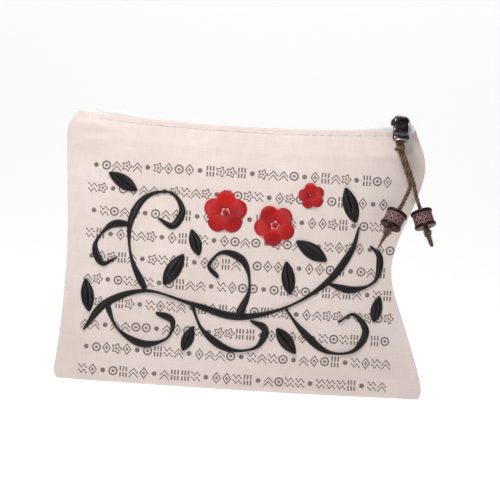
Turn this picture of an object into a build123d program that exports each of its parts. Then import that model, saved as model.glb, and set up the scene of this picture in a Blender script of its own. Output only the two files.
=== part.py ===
from build123d import *
import os
from collections import namedtuple
from functools import lru_cache
from math import asin, cos, degrees, pi, radians, sin, sqrt

# A zip pouch of cotton canvas, standing upright on its base. All sizes are in millimetres.
# X runs along the mouth, the front faces -Y, and Z is up from the base. The seam plane is Y = 0.

os.makedirs("parts", exist_ok=True)

# Cloth
CANVAS = 0.9  # thickness of the canvas
TAPE = 0.6  # thickness of the woven zip tape
TURN_IN = 9.0  # width of the cloth turned in along the side and bottom seams
SKIN_GAP = 0.06  # between the canvas and the thread that lies on it
TAPE_GAP = 0.12  # between the canvas and the tape sewn behind it

# The pouch's outline at a height: reach to the left and right of the middle, how far one panel stands
# from the seam plane, and how square it is in plan, from 2 for a lens to 20 for a box
Station = namedtuple("Station", "height left right depth square")
MOUTH_DEPTH = 6.8
OUTLINE = [
    Station(0.0, 110.4, 110.8, 6.5, 2.2),
    Station(2.0, 111.7, 112.0, 8.3, 2.2),
    Station(7.0, 112.3, 112.3, 9.7, 2.2),
    Station(24.0, 110.5, 107.4, 11.4, 2.2),
    Station(48.0, 109.0, 98.6, 12.2, 2.2),
    Station(78.0, 108.3, 89.8, 12.2, 2.2),
    Station(104.0, 109.4, 95.8, 11.2, 2.4),
    Station(128.0, 111.0, 104.4, 9.8, 3.2),
    Station(145.0, 112.1, 106.2, 8.4, 6.0),
    Station(157.0, 110.6, 102.0, 7.2, 14.0),
    Station(163.0, 106.6, 99.6, MOUTH_DEPTH, 20.0),
    Station(174.0, 102.6, 98.4, MOUTH_DEPTH, 20.0),
]
BACK_FULLER = 0.25  # how much more than the front the back stands out past the mouth's depth
CURVE_POINTS = 8  # points on each half of a panel's curve

# Canvas edge at the mouth, a shallow hollow
EDGE_LOW = 158.8
EDGE_LOW_AT = -7.4
EDGE_RADIUS = 1250.0

# Zip chain, an arc that sags between the ends of the mouth
CHAIN_LOW = 157.5  # middle of the chain's thickness at its lowest
CHAIN_LOW_AT = -2.0
CHAIN_RADIUS = 500.0
CHAIN_LEFT = -91.0
TAPE_LEFT = -93.6
TAPE_RIGHT = 97.0
TAPE_DEEP = 13.0  # how far the tape reaches down behind the canvas
COIL_HALF = 3.0  # half width of the closed coil
COIL_THICK = 2.2
TOOTH_PITCH = 1.6
TOOTH = 0.66
TOOTH_REACH = 0.9  # how far a tooth passes the middle
SPINE = 1.0  # width of each coil's sewn edge
TAPE_WALL_OUT = 5.4  # the tape's upright wall beside the slider, outer face
TAPE_WALL_IN = 4.75

# Slider
SLIDER_AT = 89.6
SLIDER_LONG = 11.4
SLIDER_HALF = 4.3
SLIDER_HIGH = 5.0
SLIDER_ROUND = 2.3
COIL_CLEAR = 0.35
SLIT = 1.5  # height of the slit that the tape runs in
WEDGE_LONG = 3.4
WEDGE_HALF = 0.9
WEDGE_BACK = 0.9  # the wedge stops this far behind the nose
WEDGE_ROOT = 0.6  # how far the wedge runs into each plate
BAR_UP = 4.75  # the crown's bar above the middle of the chain
BAR_RADIUS = 0.7
CROWN_POST = 1.4
CROWN_INNER = 4.2
CROWN_HALF = 1.1
CROWN_ROUND = 1.05
SPRING_THICK = 0.2
STOP_LONG = 2.0
SHELF_GAP = 0.3

# Tab
TAB_FRONT = 10.0  # how far in front of the seam plane the tab hangs
TAB_THICK = 1.5
TAB_LONG = 12.4
TAB_TOP = 7.6
TAB_BOTTOM = 10.0
TAB_LEAN = 14.0  # degrees from upright, so that the tab clears the swell of the front
TAB_DOWN = 3.2  # how far below the crown's bar the plate starts
TAB_CORNER = 1.5
NECK = 2.6
NECK_THICK = 1.2
NECK_RISE = 1.8  # how far the neck runs upright above the plate
EYE_CLEAR = 0.55
EYE_WALL = 0.5
SLOT_WIDE = 5.6
SLOT_HIGH = 3.2
SLOT_CORNER = 1.45
TAB_BAR = 1.2

# Cord, beads and knots
CORD = 2.4
STEM_WIDE = 3.6
HITCH_RING = 2.4
HITCH_SPREAD = 1.3
HITCH_BALL = 2.4
HITCH_DROP = 4.56  # from the tab's lower bar to the middle of the gathered cord
CORD_GAP = 0.3  # between pieces of the charm that turn on each other
PART_AT = Vector(97.4, -15.5, 130.1)  # where the two strands part
FORK = 5.0  # each strand's swing starts this far below the parting
LEFT_BEAD_AT = Vector(86.8, -21.6, 108.8)
RIGHT_BEAD_AT = Vector(104.2, -21.6, 110.1)
BEAD_WIDE = 13.0
BEAD_LONG = 10.5
BEAD_FLANGE = 2.1
BEAD_BAND_DEEP = 0.6
BEAD_ROUND = 0.7
BEAD_CLEAR = 0.35
KNOT_WIDE = 6.4
KNOT_DEEP = 5.4
KNOT_LONG = 6.0
KNOT_GRIP = 0.6  # how far a strand runs on into its knot
TAIL_ROOT = 1.5  # a tail starts this far below the middle of its knot
LEFT_TAIL = 9.0
RIGHT_TAIL = 5.5

# Embroidery and topstitching
EMBROIDERY_HIGH = 1.25
STROKE = 4.0
PETAL = 5.6
PETAL_RING = 7.4
PETALS = 5
BLOSSOM_EYE = 3.1
STAMEN = 1.7
STITCH_LONG = 3.4
STITCH_PITCH = 4.4
STITCH_WIDE = 0.6
STITCH_HIGH = 0.35
STITCH_DOWN = 2.6  # the line of topstitching below the canvas edge

CHAIN_CENTRE = Vector(CHAIN_LOW_AT, 0, CHAIN_LOW + CHAIN_RADIUS)
CHAIN_AXIS = Axis(CHAIN_CENTRE, (0, 1, 0))
REST_ANGLE = degrees(asin((SLIDER_AT - CHAIN_LOW_AT) / CHAIN_RADIUS))
FAR = 60.0  # comfortably past the pouch's thickness


def chain_point(angle, up=0.0):
    """A point over the chain, at an angle from its lowest point."""
    reach = CHAIN_RADIUS - up
    return CHAIN_CENTRE + Vector(reach * sin(radians(angle)), 0, -reach * cos(radians(angle)))


def chain_angle(x):
    """The angle from the chain's lowest point to a place along X."""
    return degrees(asin((x - CHAIN_LOW_AT) / CHAIN_RADIUS))


def plan_points(station, inset, height, fuller):
    """One panel's curve in plan, from the left seam to the right one, set in by a distance."""
    half, middle = (station.right + station.left) / 2, (station.right - station.left) / 2
    depth = station.depth + fuller * (station.depth - MOUTH_DEPTH)
    slope = depth * station.square / half
    side = inset * sqrt(1 + 1 / slope**2)
    points = []
    for i in range(-CURVE_POINTS, CURVE_POINTS + 1):
        share = sin(pi / 2 * i / CURVE_POINTS)
        out = (depth - inset) * (1 - abs(share) ** station.square)
        points.append(Vector(middle + (half - side) * share, -out, height))
    return points


@lru_cache
def body_of(inset, floor=0.0, lap=0.0, fuller=0.0):
    """The space between the seam plane and one panel's surface, set in by a distance."""
    wires = []
    for station in OUTLINE:
        height = max(station.height, floor)
        points = plan_points(station, inset, height, fuller)
        start, end = points[0], points[-1]
        edges = [Edge.make_spline(points)]
        if lap:
            corners = [end, end + Vector(0, lap, 0), start + Vector(0, lap, 0), start]
            edges += [Edge.make_line(a, b) for a, b in zip(corners, corners[1:])]
        else:
            edges.append(Edge.make_line(end, start))
        wires.append(Wire(edges))
    return Solid.make_loft(wires)


def block(x0, x1, y0, y1, z0, z1):
    """A box between two corners."""
    return Pos((x0 + x1) / 2, (y0 + y1) / 2, (z0 + z1) / 2) * Box(x1 - x0, y1 - y0, z1 - z0)


def prism(face, y0, y1):
    """A face drawn in the seam plane, made solid from one depth to another."""
    return Pos(0, y0, 0) * extrude(face, amount=y1 - y0, dir=(0, 1, 0))


def above_edge():
    """Everything above the hollow line of the canvas edge."""
    half = OUTLINE[2].left + CANVAS
    rise = EDGE_RADIUS - sqrt(EDGE_RADIUS**2 - half**2)
    left = (EDGE_LOW_AT - half, 0, EDGE_LOW + rise)
    right = (EDGE_LOW_AT + half, 0, EDGE_LOW + rise)
    top = OUTLINE[-1].height + CANVAS
    line = ThreePointArc(left, (EDGE_LOW_AT, 0, EDGE_LOW), right)
    rest = Polyline(right, (right[0], 0, top), (left[0], 0, top), left)
    return prism(make_face(line + rest), -FAR, FAR)


def chain_sector(inner, outer, y0, y1, left, right):
    """Part of a ring about the chain's centre, given by its distances outside the chain."""
    radii = CHAIN_RADIUS + inner, CHAIN_RADIUS + outer
    at = (y0 + y1) / 2
    profile = Pos(CHAIN_LOW_AT, at, CHAIN_CENTRE.Z - sum(radii) / 2) * (
        Rot(0, 90, 0) * Rectangle(radii[1] - radii[0], y1 - y0)
    )
    start, end = chain_angle(left), chain_angle(right)
    return revolve(profile, CHAIN_AXIS, revolution_arc=end - start).rotate(CHAIN_AXIS, -end)


def on_chain(shape):
    """Moves a shape built at the chain's lowest point to where the slider rests."""
    return shape.rotate(CHAIN_AXIS, -REST_ANGLE)


def make_panel(fuller):
    """One canvas panel with its base, its open top and the cloth turned in along the seams."""
    outer = body_of(0.0, fuller=fuller)
    hollow = body_of(CANVAS, floor=CANVAS, lap=CANVAS, fuller=fuller)
    window_bottom = CANVAS + TURN_IN
    stations = [s for s in OUTLINE if s.height > window_bottom]
    left = [(-OUTLINE[2].left + TURN_IN, 0, window_bottom)]
    left += [(TURN_IN - s.left, 0, s.height) for s in stations]
    right = [(OUTLINE[2].right - TURN_IN, 0, window_bottom)]
    right += [(s.right - TURN_IN, 0, s.height) for s in stations]
    sides = Polyline(*left) + Polyline(*right)
    ends = Line(left[0], right[0]) + Line(left[-1], right[-1])
    window = prism(make_face(sides + ends), -FAR, FAR)
    flange = (outer & block(-FAR * 3, FAR * 3, -CANVAS, 0, 0, FAR * 3)) - window
    return (outer - hollow) + flange - above_edge()


def make_tape(fuller):
    """One zip tape: flat beside the coil, then down past the slider and behind the canvas."""
    behind = CANVAS + TAPE_GAP
    shelf = SLIDER_HIGH / 2 + SHELF_GAP
    low = shelf + TAPE
    outer = body_of(behind, floor=CANVAS, fuller=fuller)
    inner = body_of(behind + TAPE, floor=CANVAS, lap=CANVAS, fuller=fuller)
    strip = chain_sector(shelf, TAPE_DEEP, -FAR, 0, TAPE_LEFT, TAPE_RIGHT)
    leg = (outer & strip) - inner
    flat = chain_sector(-TAPE / 2, TAPE / 2, -TAPE_WALL_OUT, -COIL_HALF, TAPE_LEFT, TAPE_RIGHT)
    wall = chain_sector(-TAPE / 2, low, -TAPE_WALL_OUT, -TAPE_WALL_IN, TAPE_LEFT, TAPE_RIGHT)
    ledge = chain_sector(shelf, low, -TAPE_WALL_OUT, 0, TAPE_LEFT, TAPE_RIGHT) - inner
    seam = block(-FAR * 3, FAR * 3, -CANVAS - TAPE_GAP, FAR, 0, FAR * 4)
    return (leg + ledge - seam) + flat + wall


def make_coil(side):
    """One half of the coil: a sewn spine with teeth that reach past the middle, side -1 in front."""
    nose = SLIDER_AT + SLIDER_LONG / 2 - WEDGE_LONG - COIL_CLEAR
    end = SLIDER_AT + SLIDER_LONG / 2 - COIL_CLEAR
    count = int((nose - CHAIN_LEFT) / TOOTH_PITCH)
    points = [(CHAIN_LEFT, side * COIL_HALF), (CHAIN_LEFT, side * (COIL_HALF - SPINE))]
    shift = TOOTH_PITCH / 2 if side > 0 else 0
    for i in range(count):
        x = CHAIN_LEFT + shift + COIL_CLEAR + i * TOOTH_PITCH
        root, tip = side * (COIL_HALF - SPINE), -side * TOOTH_REACH
        points += [(x, root), (x, tip), (x + TOOTH, tip), (x + TOOTH, root)]
    points += [(end, side * (COIL_HALF - SPINE)), (end, side * COIL_HALF)]
    comb = extrude(make_face(Polyline(*points, close=True)), amount=FAR * 4)
    half = COIL_THICK / 2
    return comb & chain_sector(-half, half, -COIL_HALF, COIL_HALF, CHAIN_LEFT, end)


def make_slider_body():
    """Two plates with turned edges, joined by the wedge that parts the coils."""
    profile = Rot(90, 0, 0) * RectangleRounded(SLIDER_LONG, SLIDER_HIGH, SLIDER_ROUND)
    solid = extrude(profile, amount=SLIDER_HALF, both=True)
    footprint = RectangleRounded(SLIDER_LONG, 2 * SLIDER_HALF, SLIDER_ROUND)
    plan = extrude(footprint, SLIDER_HIGH, both=True)
    solid = Pos(CHAIN_LOW_AT, 0, CHAIN_LOW) * (solid & plan)
    reach, rise = COIL_HALF + COIL_CLEAR, COIL_THICK / 2 + COIL_CLEAR
    ends = CHAIN_LOW_AT - SLIDER_LONG, CHAIN_LOW_AT + SLIDER_LONG
    channel = chain_sector(-rise, rise, -reach, reach, *ends)
    slit = chain_sector(-SLIT / 2, SLIT / 2, -FAR, FAR, *ends)
    nose = CHAIN_LOW_AT + SLIDER_LONG / 2
    low, high = CHAIN_LOW - rise - WEDGE_ROOT, CHAIN_LOW + rise + WEDGE_ROOT
    wedge = block(nose - WEDGE_LONG, nose - WEDGE_BACK, -WEDGE_HALF, WEDGE_HALF, low, high)
    return on_chain(solid - channel - slit + wedge)


def make_slider_crown():
    """The bridge over the top plate that the tab's eye hangs on."""
    top, inner = SLIDER_HIGH / 2, CROWN_INNER / 2
    out, high = inner + CROWN_POST, BAR_UP + BAR_RADIUS - top
    outline = Pos(0, high / 2) * RectangleRounded(2 * out, high, CROWN_ROUND)
    arch = extrude(Rot(90, 0, 0) * outline, amount=CROWN_HALF, both=True)
    crown = arch - block(-inner, inner, -FAR, FAR, -FAR, high - 2 * BAR_RADIUS)
    bar = block(-out, out, -BAR_RADIUS, BAR_RADIUS, -FAR, FAR)
    posts = block(-FAR, -inner, -FAR, FAR, -FAR, FAR) + block(inner, FAR, -FAR, FAR, -FAR, FAR)
    return on_chain(Pos(CHAIN_LOW_AT, 0, CHAIN_LOW + top) * (crown & (bar + posts)))


def make_lock_spring():
    """The leaf under the crown whose end drops between the teeth."""
    top = CHAIN_LOW + SLIDER_HIGH / 2
    left, right = CHAIN_LOW_AT - CROWN_INNER / 2, CHAIN_LOW_AT + CROWN_INNER / 2
    return on_chain(block(left, right, -BAR_RADIUS, BAR_RADIUS, top, top + SPRING_THICK))


def make_top_stops():
    """A clamped stop on each tape just past the slider's nose."""
    start = SLIDER_AT + SLIDER_LONG / 2 + COIL_CLEAR
    half = COIL_THICK / 2
    front = chain_sector(-half, half, -COIL_HALF, -WEDGE_HALF, start, start + STOP_LONG / 2)
    return [front, mirror(front, about=Plane.XZ)]


def make_bottom_stop():
    """The box that closes the chain's far end."""
    half = COIL_THICK / 2
    return chain_sector(-half, half, -COIL_HALF, COIL_HALF, CHAIN_LEFT - STOP_LONG, CHAIN_LEFT)


BAR_AT = chain_point(REST_ANGLE, BAR_UP)
TAB_HEAD = Vector(BAR_AT.X, -TAB_FRONT, BAR_AT.Z - TAB_DOWN)
LEAN = Vector(0, -sin(radians(TAB_LEAN)), -cos(radians(TAB_LEAN)))
TAB_BAR_AT = TAB_HEAD + LEAN * (TAB_LONG - TAB_BAR / 2)


def make_pull_tab():
    """The tab: an eye round the crown's bar, a neck over the slider's edge, and the slotted plate."""
    hole = BAR_RADIUS + EYE_CLEAR
    eye = hole + EYE_WALL
    head_y, head_z = TAB_HEAD.Y - BAR_AT.Y, TAB_HEAD.Z - BAR_AT.Z
    corner = (head_y, head_z + NECK_RISE)
    knee = (head_y + TAB_THICK, -EYE_WALL)
    way = Polyline((-hole - EYE_WALL / 2, 0), knee, corner, (head_y, head_z))
    profile = (Circle(eye) + trace(way, line_width=NECK_THICK)) - Circle(hole)
    beside = Plane(BAR_AT - Vector(NECK / 2, 0, 0), x_dir=(0, 1, 0), z_dir=(1, 0, 0))
    neck = extrude(beside * profile, amount=NECK)
    top, bottom = TAB_TOP / 2, TAB_BOTTOM / 2
    corners = (-top, 0), (top, 0), (bottom, -TAB_LONG), (-bottom, -TAB_LONG)
    outline = make_face(Polyline(*corners, close=True))
    plate = fillet(outline.vertices(), TAB_CORNER)
    middle = -TAB_LONG + TAB_BAR + SLOT_HIGH / 2
    slot = Pos(0, middle) * RectangleRounded(SLOT_WIDE, SLOT_HIGH, SLOT_CORNER)
    front = Plane(TAB_HEAD, x_dir=(1, 0, 0), z_dir=(0, LEAN.Z, -LEAN.Y))
    return neck + front * extrude(plate - slot, amount=TAB_THICK / 2, both=True)


def tube(start, end, width):
    """A straight round run of cord."""
    way = end - start
    return Plane(start, z_dir=way) * extrude(Circle(width / 2), amount=way.length)


def make_hitch():
    """Two turns of cord through the tab's slot, drawn into a hitch below it."""
    turns = []
    for side in (-1, 1):
        centre = TAB_BAR_AT + Vector(side * HITCH_SPREAD, 0, 0)
        turns.append(Plane(centre, z_dir=(1, 0, 0)) * Torus(HITCH_RING, CORD / 2))
    return turns[0] + turns[1] + Plane(STEM_TOP, z_dir=LEAN) * Sphere(HITCH_BALL)


STEM_TOP = TAB_BAR_AT + LEAN * HITCH_DROP
KNOT_GAP = BEAD_LONG / 2 + CORD_GAP + KNOT_LONG / 2


def strand_way(bead):
    """The direction in which a strand runs from the parting to its bead."""
    return (bead - PART_AT).normalized()


def knot_mouth(bead):
    """Where a strand ends inside its knot."""
    return bead + strand_way(bead) * (KNOT_GAP - KNOT_LONG / 2 + KNOT_GRIP)


def pivot_of(bead):
    """Where a strand starts to swing on its own."""
    return PART_AT + strand_way(bead) * FORK


def make_stem():
    """The doubled cord below the hitch, with the start of each strand."""
    way = (PART_AT - STEM_TOP).normalized()
    stem = tube(STEM_TOP + way * (HITCH_BALL + CORD_GAP), PART_AT, STEM_WIDE)
    for bead in (LEFT_BEAD_AT, RIGHT_BEAD_AT):
        stem += tube(PART_AT, pivot_of(bead), CORD) + Pos(pivot_of(bead)) * Sphere(CORD / 2)
    return stem + Pos(PART_AT) * Sphere(STEM_WIDE / 2)


def make_strand(bead):
    """One strand below the parting, through its bead, into its knot."""
    way = strand_way(bead)
    start = pivot_of(bead) + way * (CORD / 2 + CORD_GAP)
    return tube(start, knot_mouth(bead), CORD)


def make_bead(bead):
    """A carved wooden drum bead: two flanges, a sunk band and a bore for its strand."""
    half, low = BEAD_LONG / 2, BEAD_LONG / 2 - BEAD_FLANGE
    rim, bore = BEAD_WIDE / 2, CORD / 2 + BEAD_CLEAR
    band = rim - BEAD_BAND_DEEP
    lower = [(bore, -half), (rim, -half), (rim, -low), (band, -low)]
    upper = [(x, -y) for x, y in reversed(lower)]
    profile = make_face(Polyline(*lower, *upper, close=True))
    between = (rim + band) / 2
    outer = [v for v in profile.vertices() if v.X > between and abs(v.Y) > low + BEAD_ROUND]
    drum = revolve(Plane.XZ * fillet(outer, BEAD_ROUND), Axis.Z)
    return Plane(bead, z_dir=strand_way(bead)) * drum


def make_knot(bead, tail):
    """The overhand knot under a bead, and the short tail that leaves it."""
    way = strand_way(bead)
    at = bead + way * KNOT_GAP
    shares = (1, KNOT_DEEP / KNOT_WIDE, KNOT_LONG / KNOT_WIDE)
    ball = Plane(at, z_dir=way) * scale(Sphere(KNOT_WIDE / 2), by=shares)
    bored = ball - tube(bead, knot_mouth(bead), CORD)
    return bored + tube(at + way * TAIL_ROOT, at + way * (KNOT_LONG / 2 + tail), CORD)


def raised(sketch):
    """A flat drawing in the seam plane, raised as thread on the front canvas."""
    layer = body_of(-(SKIN_GAP + EMBROIDERY_HIGH)) - body_of(-SKIN_GAP, lap=CANVAS)
    return layer & prism(sketch, -FAR, 0)


def leaf(x, z, long, wide, turn):
    """A pointed leaf, drawn about its middle."""
    root, tip = (-long / 2, 0), (long / 2, 0)
    upper = ThreePointArc(root, (0, wide / 2), tip)
    lower = ThreePointArc(tip, (0, -wide / 2), root)
    return Pos(x, z) * Rot(0, 0, turn) * make_face(upper + lower)


def blossom(x, z, size, turn):
    """Five round petals about an open middle, with a stamen dot."""
    petal = Pos(0, PETAL_RING * size) * Circle(PETAL * size)
    petals = Sketch() + [Rot(0, 0, 360 / PETALS * i + turn) * petal for i in range(PETALS)]
    ring = petals - Circle(BLOSSOM_EYE * size)
    return Pos(x, z) * ring, Pos(x, z) * Circle(STAMEN * size)


def stroke(*points):
    """A line of satin stitch along a curve."""
    return trace(Spline(*points), line_width=STROKE)


BRANCHES = [
    [(-95, 31), (-82, 48), (-58, 57), (-30, 51), (-2, 45), (26, 52), (50, 68), (64, 88), (68, 103)],
    [(-58, 57), (-68, 76), (-70, 97), (-62, 113), (-47, 117), (-39, 107), (-44, 97), (-53, 101)],
    [(-82, 48), (-74, 33), (-59, 25), (-44, 29), (-41, 40), (-51, 44)],
    [(-30, 51), (-22, 35), (-6, 25), (10, 27), (15, 38), (6, 43)],
    [(26, 52), (38, 38), (53, 27), (69, 28), (76, 40), (68, 50), (59, 45)],
    [(50, 68), (66, 65), (80, 71), (82, 85), (76, 92)],
    [(-70, 97), (-82, 95), (-91, 83), (-86, 72), (-77, 76)],
    [(-2, 45), (4, 62), (0, 78), (-13, 83), (-21, 75), (-15, 68)],
]
LEAVES = [
    (-42, 71, 22, 9, 60), (-94, 52, 20, 8, 100), (27, 70, 20, 8, 100), (40, 87, 22, 9, 150),
    (-76, 122, 20, 8, 150), (28, 32, 19, 8, -50), (82, 54, 16, 7, 80), (-31, 30, 16, 7, 70),
    (62, 116, 22, 9, 110), (-30, 88, 16, 7, 110),
]
BLOSSOMS = [(-13, 107, 1.0, 0), (17, 101, 0.95, 30), (38, 120, 0.6, 12)]


def make_black_thread():
    shapes = Sketch() + [stroke(*points) for points in BRANCHES] + [leaf(*v) for v in LEAVES]
    return raised(Rot(90, 0, 0) * shapes)


def make_red_thread():
    shapes = [part for values in BLOSSOMS for part in blossom(*values)]
    return raised(Rot(90, 0, 0) * (Sketch() + shapes))


def make_topstitch(fuller):
    """A line of stitches below the canvas edge, lying on the canvas."""
    reach = min(OUTLINE[-2].left, OUTLINE[-2].right) - TURN_IN
    count = int(2 * reach / STITCH_PITCH)
    radius = EDGE_RADIUS + STITCH_DOWN
    marks = []
    for i in range(count + 1):
        x = -reach + i * STITCH_PITCH
        angle = asin((x - EDGE_LOW_AT) / radius)
        z = EDGE_LOW - STITCH_DOWN + radius * (1 - cos(angle))
        marks.append(Pos(x, 0, z) * Rot(0, -degrees(angle), 0) * Box(STITCH_LONG, FAR, STITCH_WIDE))
    outer = body_of(-(SKIN_GAP + STITCH_HIGH), fuller=fuller)
    return (outer - body_of(-SKIN_GAP, lap=CANVAS, fuller=fuller)) & Compound(marks)


def keep(name, shape):
    """Writes a node and says how many solids it has."""
    shape = shape if isinstance(shape, list) else [shape]
    solids = [solid for piece in shape for solid in piece.solids()]
    export_step(Compound(children=solids) if len(solids) > 1 else solids[0], f"parts/{name}.step")
    print(name, len(solids), "solids", round(sum(s.volume for s in solids), 1), "mm3")


def to_back(shape):
    """The same shape behind the seam plane."""
    return mirror(shape, about=Plane.XZ)


keep("front_panel", make_panel(0.0))
keep("back_panel", to_back(make_panel(BACK_FULLER)))
keep("zip_tape_front", make_tape(0.0))
keep("zip_tape_back", to_back(make_tape(BACK_FULLER)))
keep("zip_coil_front", make_coil(-1))
keep("zip_coil_back", make_coil(1))
keep("topstitch_front", make_topstitch(0.0))
keep("topstitch_back", to_back(make_topstitch(BACK_FULLER)))
keep("zip_top_stops", make_top_stops())
keep("zip_bottom_stop", make_bottom_stop())
keep("slider_body", make_slider_body())
keep("slider_crown", make_slider_crown())
keep("slider_lock_spring", make_lock_spring())
keep("pull_tab", make_pull_tab())
keep("cord_hitch", make_hitch())
keep("cord_stem", make_stem())
keep("cord_left", make_strand(LEFT_BEAD_AT))
keep("cord_right", make_strand(RIGHT_BEAD_AT))
keep("bead_left", make_bead(LEFT_BEAD_AT))
keep("bead_right", make_bead(RIGHT_BEAD_AT))
keep("knot_left", make_knot(LEFT_BEAD_AT, LEFT_TAIL))
keep("knot_right", make_knot(RIGHT_BEAD_AT, RIGHT_TAIL))
keep("embroidery_black", make_black_thread())
keep("embroidery_red", make_red_thread())
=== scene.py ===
import logging
from dataclasses import dataclass, field
from enum import Enum
from functools import cached_property
from math import asin, cos, pi, radians, sin
from typing import Any, Callable, Optional, Sequence

import bmesh
import bpy
import numpy as np
from mathutils import Matrix, Vector


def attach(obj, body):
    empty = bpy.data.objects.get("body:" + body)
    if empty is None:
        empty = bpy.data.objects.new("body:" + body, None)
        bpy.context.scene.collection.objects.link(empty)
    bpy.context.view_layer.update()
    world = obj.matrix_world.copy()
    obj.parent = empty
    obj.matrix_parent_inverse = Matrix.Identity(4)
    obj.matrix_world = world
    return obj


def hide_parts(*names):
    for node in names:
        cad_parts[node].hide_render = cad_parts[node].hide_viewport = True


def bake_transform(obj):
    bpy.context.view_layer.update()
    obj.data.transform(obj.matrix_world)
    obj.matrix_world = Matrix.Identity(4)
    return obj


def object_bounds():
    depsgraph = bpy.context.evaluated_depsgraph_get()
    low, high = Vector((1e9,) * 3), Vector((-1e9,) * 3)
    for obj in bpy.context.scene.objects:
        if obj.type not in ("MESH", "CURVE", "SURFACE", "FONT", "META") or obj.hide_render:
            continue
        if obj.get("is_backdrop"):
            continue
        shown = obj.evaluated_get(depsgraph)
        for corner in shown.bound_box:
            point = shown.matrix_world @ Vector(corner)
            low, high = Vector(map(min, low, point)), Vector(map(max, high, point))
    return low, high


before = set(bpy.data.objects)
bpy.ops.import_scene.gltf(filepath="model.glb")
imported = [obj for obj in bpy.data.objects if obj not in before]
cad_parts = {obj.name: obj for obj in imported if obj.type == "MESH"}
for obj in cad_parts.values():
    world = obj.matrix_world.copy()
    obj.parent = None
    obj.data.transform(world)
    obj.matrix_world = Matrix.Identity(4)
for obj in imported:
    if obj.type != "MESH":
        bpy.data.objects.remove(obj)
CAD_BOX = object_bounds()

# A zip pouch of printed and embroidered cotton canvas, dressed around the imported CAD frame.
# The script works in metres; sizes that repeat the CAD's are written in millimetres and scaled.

MM = 0.001
log = logging.getLogger("pouch")

Points = np.ndarray
Input = Any


# ---------------------------------------------------------------- node graphs

def math_method(operation: str, number_first: bool = False) -> Callable[..., "Socket"]:
    """A method for Socket that adds one Math node, whose own value may come last."""
    def method(self: "Socket", *others: Input) -> "Socket":
        """Add the node and give its output."""
        values = (*others, self) if number_first else (self, *others)
        return self.graph.math(operation, *values)

    return method


class Socket:
    """A node's output. Python's operators and the short methods add Math nodes to its graph."""

    __add__ = __radd__ = math_method("ADD")
    __sub__, __rsub__ = math_method("SUBTRACT"), math_method("SUBTRACT", number_first=True)
    __mul__ = __rmul__ = math_method("MULTIPLY")
    __truediv__, __mod__ = math_method("DIVIDE"), math_method("FLOORED_MODULO")
    __lt__, __gt__ = math_method("LESS_THAN"), math_method("GREATER_THAN")
    __abs__, floor, fract = math_method("ABSOLUTE"), math_method("FLOOR"), math_method("FRACT")
    sine, root = math_method("SINE"), math_method("SQRT")
    least, most = math_method("MINIMUM"), math_method("MAXIMUM")

    def __init__(self, graph: "Graph", link: bpy.types.NodeSocket) -> None:
        """Keep the graph and the output that belongs to it."""
        self.graph, self.link = graph, link

    def ramp(self, low: float, high: float) -> "Socket":
        """Smooth step, 0 at low and 1 at high, which may be the lower of the two."""
        if low > high:
            return 1.0 - self.ramp(high, low)
        settings = {"interpolation_type": "SMOOTHSTEP"}
        sockets = {"Value": self, "From Min": low, "From Max": high, "To Min": 0.0, "To Max": 1.0}
        return self.graph.out("ShaderNodeMapRange", settings, sockets)


class Graph:
    """A node tree that is filled by short calls."""

    def __init__(self, tree: bpy.types.NodeTree) -> None:
        """Keep a material's or a modifier's node tree."""
        self.tree = tree

    def node(self, kind: str, settings: Optional[dict] = None,
             sockets: Optional[dict] = None) -> bpy.types.Node:
        """Add any node.

        Args:
            kind: The node's type.
            settings: Properties that are set first.
            sockets: Values or links, by the input's name or number.

        Returns:
            The node.
        """
        node = self.tree.nodes.new(kind)
        for name, value in (settings or {}).items():
            setattr(node, name, value)
        for name, value in (sockets or {}).items():
            self.feed(node.inputs[name], value)
        return node

    def feed(self, entry: bpy.types.NodeSocket, value: Input) -> None:
        """Link an input to another node's output, or set its value."""
        if isinstance(value, Socket):
            self.tree.links.new(value.link, entry)
        else:
            entry.default_value = value

    def out(self, kind: str, settings: Optional[dict] = None, sockets: Optional[dict] = None,
            name: Any = 0) -> Socket:
        """Add a node and give its output of this name or number."""
        return Socket(self, self.node(kind, settings, sockets).outputs[name])

    def math(self, operation: str, *values: Input) -> Socket:
        """The output of a Math node over numbers or sockets."""
        return self.out("ShaderNodeMath", {"operation": operation}, dict(enumerate(values)))

    def split(self, vector: Socket) -> tuple[Socket, Socket, Socket]:
        """A vector's three values."""
        node = self.node("ShaderNodeSeparateXYZ", None, {0: vector})
        return tuple(Socket(self, output) for output in node.outputs)

    def join(self, x: Input = 0.0, y: Input = 0.0, z: Input = 0.0) -> Socket:
        """A vector of three values."""
        return self.out("ShaderNodeCombineXYZ", None, {0: x, 1: y, 2: z})


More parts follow.
